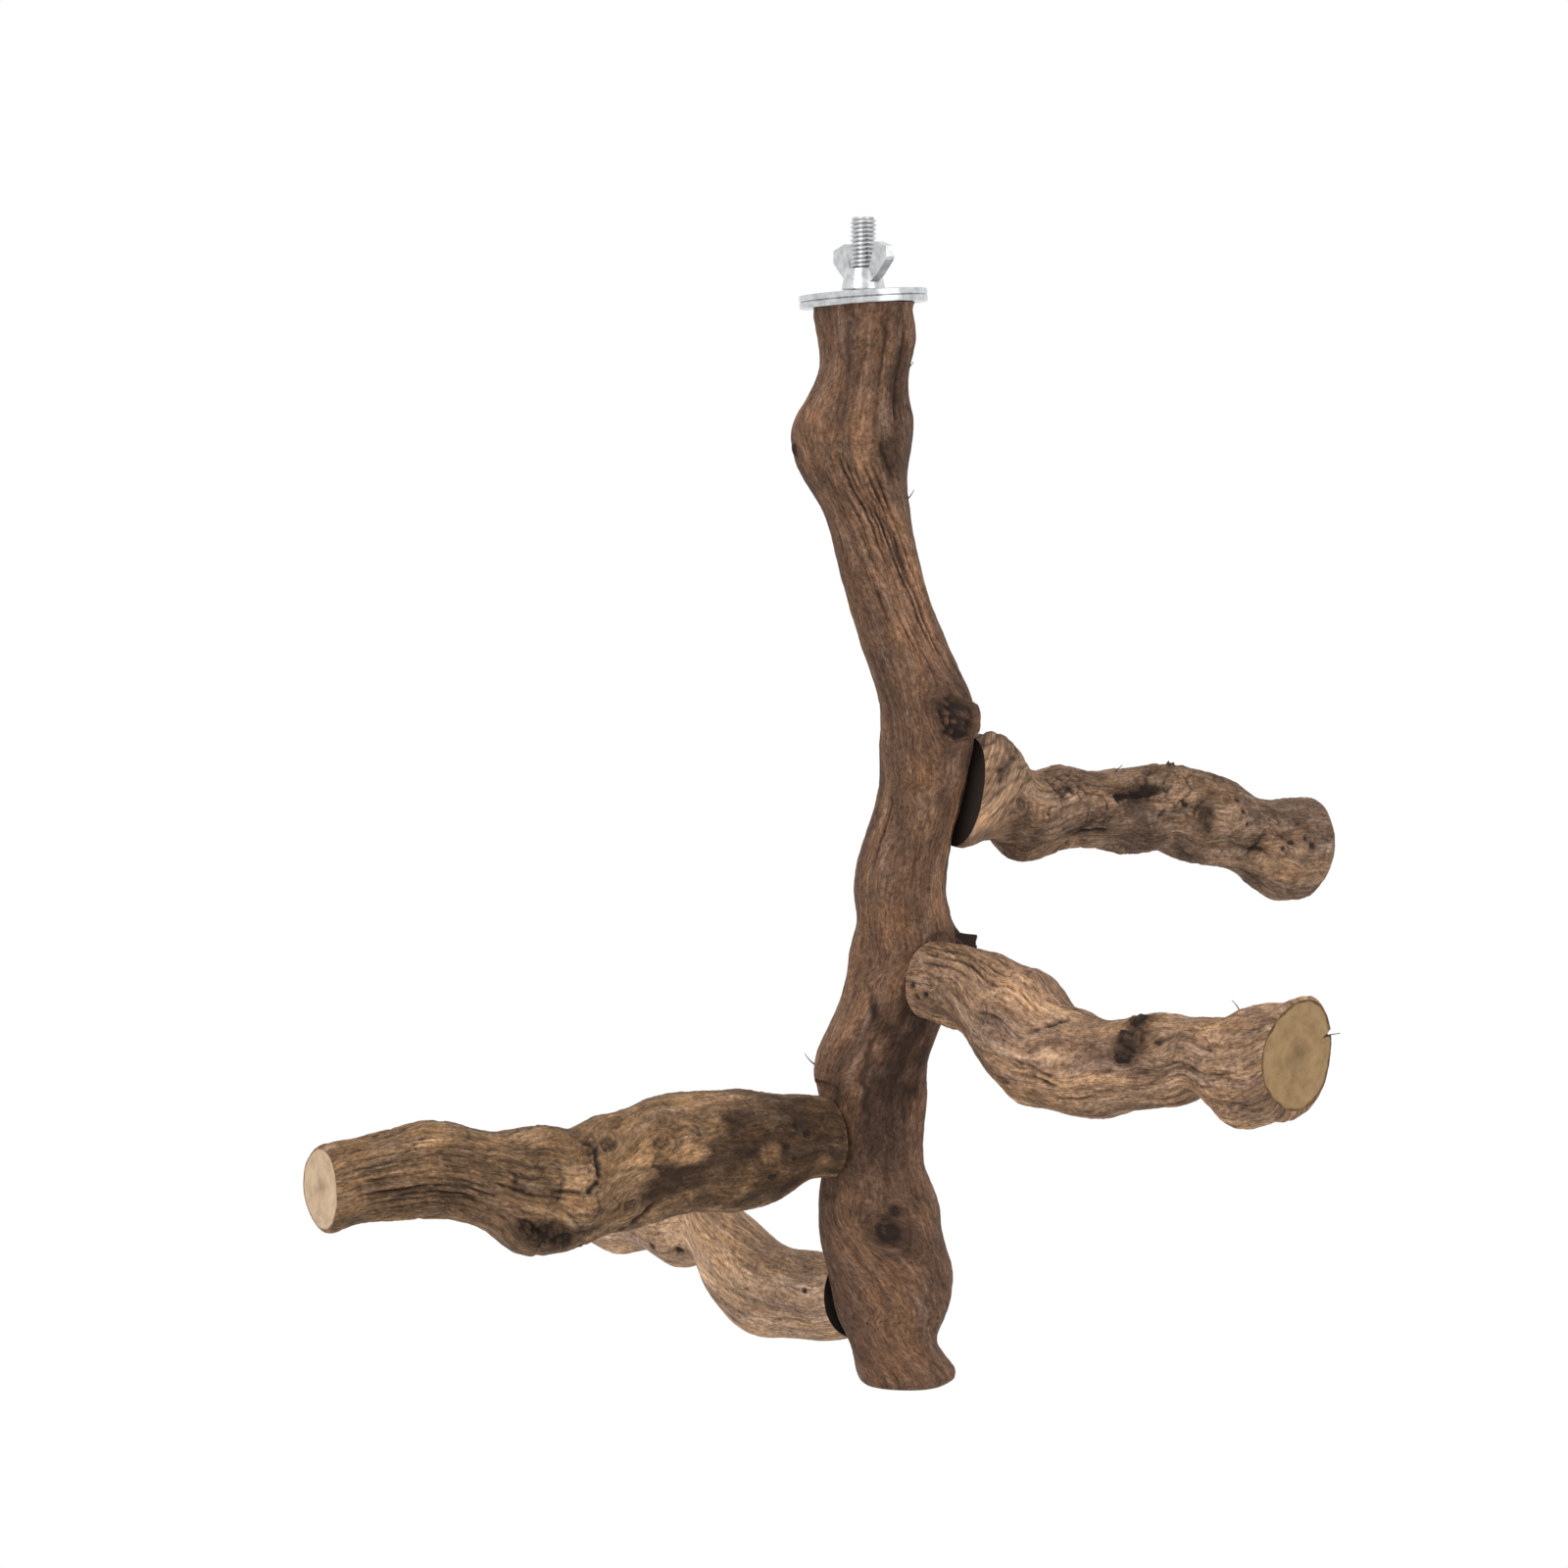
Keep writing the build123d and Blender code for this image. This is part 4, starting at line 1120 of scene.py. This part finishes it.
def zinc_material(colour):
    """Zinc plate with smears, and painted shade in the roots of a thread. Made at its first use."""
    material = bpy.data.materials.get("bright_zinc")
    if material:
        return material
    material, tree, shader = new_material("bright_zinc")
    place = add_node(tree, "ShaderNodeTexCoord", (-1100, 0)).outputs["Object"]
    smear = noise_node(tree, (-850, 0), place, 420.0, 4.0, 0.65)
    stops = [(0.34, scaled(colour, 0.76)), (0.64, scaled(colour, 1.16))]
    shades = ramp_node(tree, (-600, 200), smear, stops)
    inputs = {"Value": smear, "To Min": 0.1, "To Max": 0.34}
    gloss = add_node(tree, "ShaderNodeMapRange", (-600, -150), inputs)
    # Painted shade: the thread's roots are darkened by how deep they lie
    root = attribute_node(tree, (-600, -400), "thread_root_shade")
    set_inputs(tree, shader, {
        "Base Color": mix_node(tree, (100, 200), shades, THREAD_ROOT_SHADE, root, "MIX"),
        "Roughness": gloss.outputs["Result"],
        "Metallic": 1.0,
    })
    return material


def shared_group():
    """The grain group, built at its first use."""
    return bpy.data.node_groups.get("limb_grain") or grain_group()


carved_limbs = {}


def dress_limb(node, bark, sawn, row_step, wood):
    """Wrap, carve and store one limb in place of its solid."""
    limb = Limb(node, row_step, wood.ring_count)
    carving = carve(limb, CARVING[node])
    if node == TRUNK:
        carving["places"] = hold_flats(limb, carving["places"])
    mesh = limb_mesh(limb, carving, wood.cap_loops)
    piece = keep_piece(mesh, f"carved_{node}", [bark, sawn, seat_material(wood.crevice_colour)])
    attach(piece, node)
    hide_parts(node)
    carved_limbs[node] = (limb, carving["places"])


def grow_fibre(mesh, limb, carved, share, heading, length, lean, thickness):
    """Thin fibre that stands on a limb, bends along it and tapers."""
    row = int(np.abs(limb.rows - share * limb.span).argmin())
    column = round((heading % 360) / 360 * limb.ring_count) % limb.ring_count
    outward = Vector(limb.outward()[row, column])
    foot = Vector(carved[row, column]) - outward * 0.4 * MM
    facing = (outward + limb.along * lean * 0.4).normalized()
    ring = bmesh.ops.create_circle(mesh, cap_ends=False, segments=6, radius=thickness / 2)["verts"]
    turn = facing.to_track_quat("Z", "Y").to_matrix()
    bmesh.ops.rotate(mesh, verts=ring, cent=(0, 0, 0), matrix=turn)
    bmesh.ops.translate(mesh, verts=ring, vec=foot)
    loop = list({edge for vertex in ring for edge in vertex.link_edges})
    bmesh.ops.contextual_create(mesh, geom=loop)
    steps = 6
    for _ in range(steps):
        made = bmesh.ops.extrude_edge_only(mesh, edges=loop)["geom"]
        ring = of_kind(made, bmesh.types.BMVert)
        loop = [edge for edge in of_kind(made, bmesh.types.BMEdge) if edge.is_boundary]
        facing = (facing + limb.along * lean * 0.12).normalized()
        bmesh.ops.translate(mesh, verts=ring, vec=facing * (length * MM / steps))
        middle = sum((vertex.co for vertex in ring), Vector()) / len(ring)
        for vertex in ring:
            vertex.co = middle + (vertex.co - middle) * FIBRE_TAPER
    bmesh.ops.contextual_create(mesh, geom=loop)


class PERCH_OT_carve_trunk(bpy.types.Operator):
    """Carve the trunk with its cracks and knots"""

    bl_idname = "perch.carve_trunk"
    bl_label = "Carve trunk"

    def execute(self, context):
        wood = context.scene.perch_wood
        bark = bark_material("trunk_bark", wood.trunk_colour, wood.crevice_colour, 0.45)
        sawn = sawn_material("trunk_sawn_end", scaled(wood.trunk_colour, 1.5)[:3], (0.4, 0.35, 0.3))
        dress_limb(TRUNK, bark, sawn, wood.trunk_row_step, wood)
        return {"FINISHED"}


class PERCH_OT_carve_branches(bpy.types.Operator):
    """Carve the four branches with their folds, knots and sawn ends"""

    bl_idname = "perch.carve_branches"
    bl_label = "Carve branches"

    def execute(self, context):
        wood = context.scene.perch_wood
        rim = (0.30, 0.24, 0.20)
        cream = sawn_material("cream_sawn_end", wood.cream_colour, rim)
        ochre = sawn_material("ochre_sawn_end", wood.ochre_colour, rim)
        weathered = sawn_material("weathered_end", wood.upper_right_colour, rim)
        ends = dict(zip(BRANCHES, (weathered, ochre, cream, cream)))
        colours = dict(zip(BRANCHES, (
            wood.upper_right_colour, wood.middle_right_colour, wood.left_front_colour, wood.left_rear_colour,
        )))
        lines = dict(zip(BRANCHES, (0.8, 0.85, 0.8, 0.3)))
        for node in BRANCHES:
            bark = bark_material(f"{node}_bark", colours[node], wood.crevice_colour, lines[node])
            dress_limb(node, bark, ends[node], wood.branch_row_step, wood)
        return {"FINISHED"}


class PERCH_OT_grow_fibres(bpy.types.Operator):
    """Stand loose fibres on the carved limbs"""

    bl_idname = "perch.grow_fibres"
    bl_label = "Grow fibres"

    def execute(self, context):
        wood = context.scene.perch_wood
        inputs = {"Base Color": scaled(wood.trunk_colour, 0.3), "Roughness": 0.85}
        dry, _, _ = new_material("dry_fibre", inputs)
        for node, (limb, carved) in carved_limbs.items():
            rows = [row[1:] for row in FIBRES if row[0] == node]
            if not rows:
                continue
            mesh = bmesh.new()
            for share, heading, length, lean in rows:
                grow_fibre(mesh, limb, carved, share, heading, length, lean, wood.fibre_thickness)
            bmesh.ops.recalc_face_normals(mesh, faces=mesh.faces)
            piece = keep_piece(mesh, f"{node}_fibres", [dry])
            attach(piece, node)
        return {"FINISHED"}


class PERCH_OT_thread_stud(bpy.types.Operator):
    """Cut a real thread on the stud, in place of its plain solid"""

    bl_idname = "perch.thread_stud"
    bl_label = "Thread stud"

    def execute(self, context):
        clamp = context.scene.perch_clamp
        low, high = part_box("hanger_bolt")
        crest = (high.x - low.x) / 2
        root = crest - clamp.thread_depth
        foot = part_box("lower_washer")[0].z
        low_turn = foot - clamp.pitch
        turns = math.ceil((high.z - foot) / clamp.pitch) + 2
        mesh = bmesh.new()
        profile = [(root, 0.0), (root, 0.05), (crest, 0.4), (crest, 0.6), (root, 0.95), (root, 1.0)]
        chain = [mesh.verts.new((radius, 0, low_turn + rise * clamp.pitch)) for radius, rise in profile]
        edges = [mesh.edges.new(pair) for pair in zip(chain, chain[1:])]
        bmesh.ops.spin(
            mesh, geom=chain + edges, cent=(0, 0, 0), axis=(0, 0, 1), angle=2 * math.pi * turns,
            dvec=(0, 0, clamp.pitch / THREAD_STEPS), steps=turns * THREAD_STEPS,
        )
        bmesh.ops.remove_doubles(mesh, verts=mesh.verts, dist=0.01 * MM)
        for level, facing in ((high.z, 1), (foot, -1)):
            cut = bmesh.ops.bisect_plane(
                mesh, geom=mesh.verts[:] + mesh.edges[:] + mesh.faces[:], plane_co=(0, 0, level),
                plane_no=(0, 0, facing), clear_outer=True,
            )["geom_cut"]
            bmesh.ops.contextual_create(mesh, geom=of_kind(cut, bmesh.types.BMEdge))
        # How deep each point lies in the thread, which drives the painted shade in its roots
        depth = mesh.verts.layers.float.new("thread_root_shade")
        for vertex in mesh.verts:
            limit = crest - max(0.0, vertex.co.z - high.z + clamp.tip_chamfer)
            across = math.hypot(vertex.co.x, vertex.co.y)
            if vertex.co.z < high.z - END_MARGIN:
                vertex[depth] = min(1.0, (crest - across) / clamp.thread_depth)
            if across > limit:
                vertex.co.x *= limit / across
                vertex.co.y *= limit / across
        bmesh.ops.recalc_face_normals(mesh, faces=mesh.faces)
        piece = keep_piece(mesh, "threaded_stud", [zinc_material(clamp.zinc_colour)])
        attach(piece, TRUNK)
        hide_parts("hanger_bolt")
        return {"FINISHED"}


class PERCH_OT_plate_clamp(bpy.types.Operator):
    """Give the washers, the wing nut and the hidden screws their zinc plate"""

    bl_idname = "perch.plate_clamp"
    bl_label = "Plate clamp"

    def execute(self, context):
        zinc = zinc_material(context.scene.perch_clamp.zinc_colour)
        for part in frame["record"]["subparts"]:
            if part["material_slot"] == "zinc_steel":
                for slot in frame["nodes"][part["node"]].material_slots:
                    slot.material = zinc
        return {"FINISHED"}


class PERCH_OT_set_stage(bpy.types.Operator):
    """Set the pale floor, the soft lamps and the camera"""

    bl_idname = "perch.set_stage"
    bl_label = "Set stage"

    def execute(self, context):
        stage = context.scene.perch_stage
        self.add_floor()
        self.add_lamp("key_lamp", KEY_PLACE, stage.key_power)
        self.add_lamp("fill_lamp", FILL_PLACE, stage.fill_power)
        self.light_world(context.scene, stage.sky_strength)
        self.add_camera(context.scene, stage)
        context.scene.view_settings.view_transform = "Standard"
        return {"FINISHED"}

    def add_floor(self):
        """Wide floor, white to the eye and in reflections."""
        mesh = bmesh.new()
        bmesh.ops.create_grid(mesh, x_segments=1, y_segments=1, size=FLOOR_SIZE)
        bmesh.ops.translate(mesh, verts=mesh.verts, vec=(0, 0, FLOOR_LEVEL))
        inputs = {"Base Color": (0.82, 0.82, 0.82, 1), "Roughness": 0.9}
        material, tree, shader = new_material("pale_floor", inputs)
        glow = add_node(tree, "ShaderNodeEmission", (600, -300), {"Strength": 1.0})
        output = next(node for node in tree.nodes if node.type == "OUTPUT_MATERIAL")
        self.show_white(tree, shader.outputs["BSDF"], glow.outputs["Emission"], output)
        keep_piece(mesh, "floor", [material])

    def show_white(self, tree, lit, white, output):
        """Show white to rays that come from the camera, a mirror or glass, and what is lit to all others."""
        seen = add_node(tree, "ShaderNodeLightPath", (300, 300)).outputs
        direct = math_node(tree, (500, 300), "MAXIMUM", seen["Is Camera Ray"], seen["Is Glossy Ray"])
        direct = math_node(tree, (650, 300), "MAXIMUM", direct, seen["Is Transmission Ray"])
        mix = add_node(tree, "ShaderNodeMixShader", (850, -150), {0: direct, 1: lit, 2: white})
        set_inputs(tree, output, {"Surface": mix.outputs["Shader"]})

    def add_lamp(self, name, place, power):
        """Large square lamp that faces the perch."""
        data = bpy.data.lights.new(name, "AREA")
        data.size = LAMP_SIZE
        data.energy = power
        lamp = bpy.data.objects.new(name, data)
        lamp.location = place
        lamp.rotation_euler = (LAMP_AIM - Vector(place)).to_track_quat("-Z", "Y").to_euler()
        bpy.context.scene.collection.objects.link(lamp)

    def light_world(self, scene, strength):
        """World that is white to the eye and gives a soft grey light."""
        scene.world = bpy.data.worlds.new("studio")
        scene.world.use_nodes = True
        tree = scene.world.node_tree
        tree.nodes.clear()
        sky = add_node(tree, "ShaderNodeBackground", (600, 0), {"Color": PLAIN, "Strength": strength})
        white = add_node(tree, "ShaderNodeBackground", (600, -200), {"Color": PLAIN, "Strength": 1.0})
        output = add_node(tree, "ShaderNodeOutputWorld", (1050, 0))
        self.show_white(tree, sky.outputs["Background"], white.outputs["Background"], output)

    def add_camera(self, scene, stage):
        """Camera at the photograph's viewing angle."""
        data = bpy.data.cameras.new("camera")
        data.lens = stage.lens
        data.sensor_width = 36
        data.clip_end = 20
        camera = bpy.data.objects.new("camera", data)
        camera.location = stage.camera_place
        camera.rotation_euler = (math.pi / 2 - stage.camera_pitch, 0, 0)
        scene.collection.objects.link(camera)
        scene.camera = camera


class PERCH_PT_sidebar(bpy.types.Panel):
    """Perch pieces and their settings"""

    bl_label = "Bird perch"
    bl_idname = "PERCH_PT_sidebar"
    bl_space_type = "VIEW_3D"
    bl_region_type = "UI"
    bl_category = "Perch"

    def draw(self, context):
        for settings in (context.scene.perch_wood, context.scene.perch_clamp, context.scene.perch_stage):
            box = self.layout.box()
            for key in settings.__annotations__:
                box.prop(settings, key)
        for operator in OPERATORS:
            self.layout.operator(operator.bl_idname)


OPERATORS = (
    PERCH_OT_carve_trunk,
    PERCH_OT_carve_branches,
    PERCH_OT_grow_fibres,
    PERCH_OT_thread_stud,
    PERCH_OT_plate_clamp,
    PERCH_OT_set_stage,
)
CLASSES = (PerchWoodSettings, PerchClampSettings, PerchStageSettings, PERCH_PT_sidebar) + OPERATORS


def register():
    """Add the classes and the scene's settings."""
    for item in CLASSES:
        bpy.utils.register_class(item)
    bpy.types.Scene.perch_wood = PointerProperty(type=PerchWoodSettings)
    bpy.types.Scene.perch_clamp = PointerProperty(type=PerchClampSettings)
    bpy.types.Scene.perch_stage = PointerProperty(type=PerchStageSettings)


def unregister():
    """Remove what register added."""
    del bpy.types.Scene.perch_stage
    del bpy.types.Scene.perch_clamp
    del bpy.types.Scene.perch_wood
    for item in reversed(CLASSES):
        bpy.utils.unregister_class(item)


def main():
    """Dress the perch."""
    register()
    bpy.ops.perch.carve_trunk()
    bpy.ops.perch.carve_branches()
    bpy.ops.perch.grow_fibres()
    bpy.ops.perch.thread_stud()
    bpy.ops.perch.plate_clamp()
    bpy.ops.perch.set_stage()


if __name__ == "__main__":
    main()
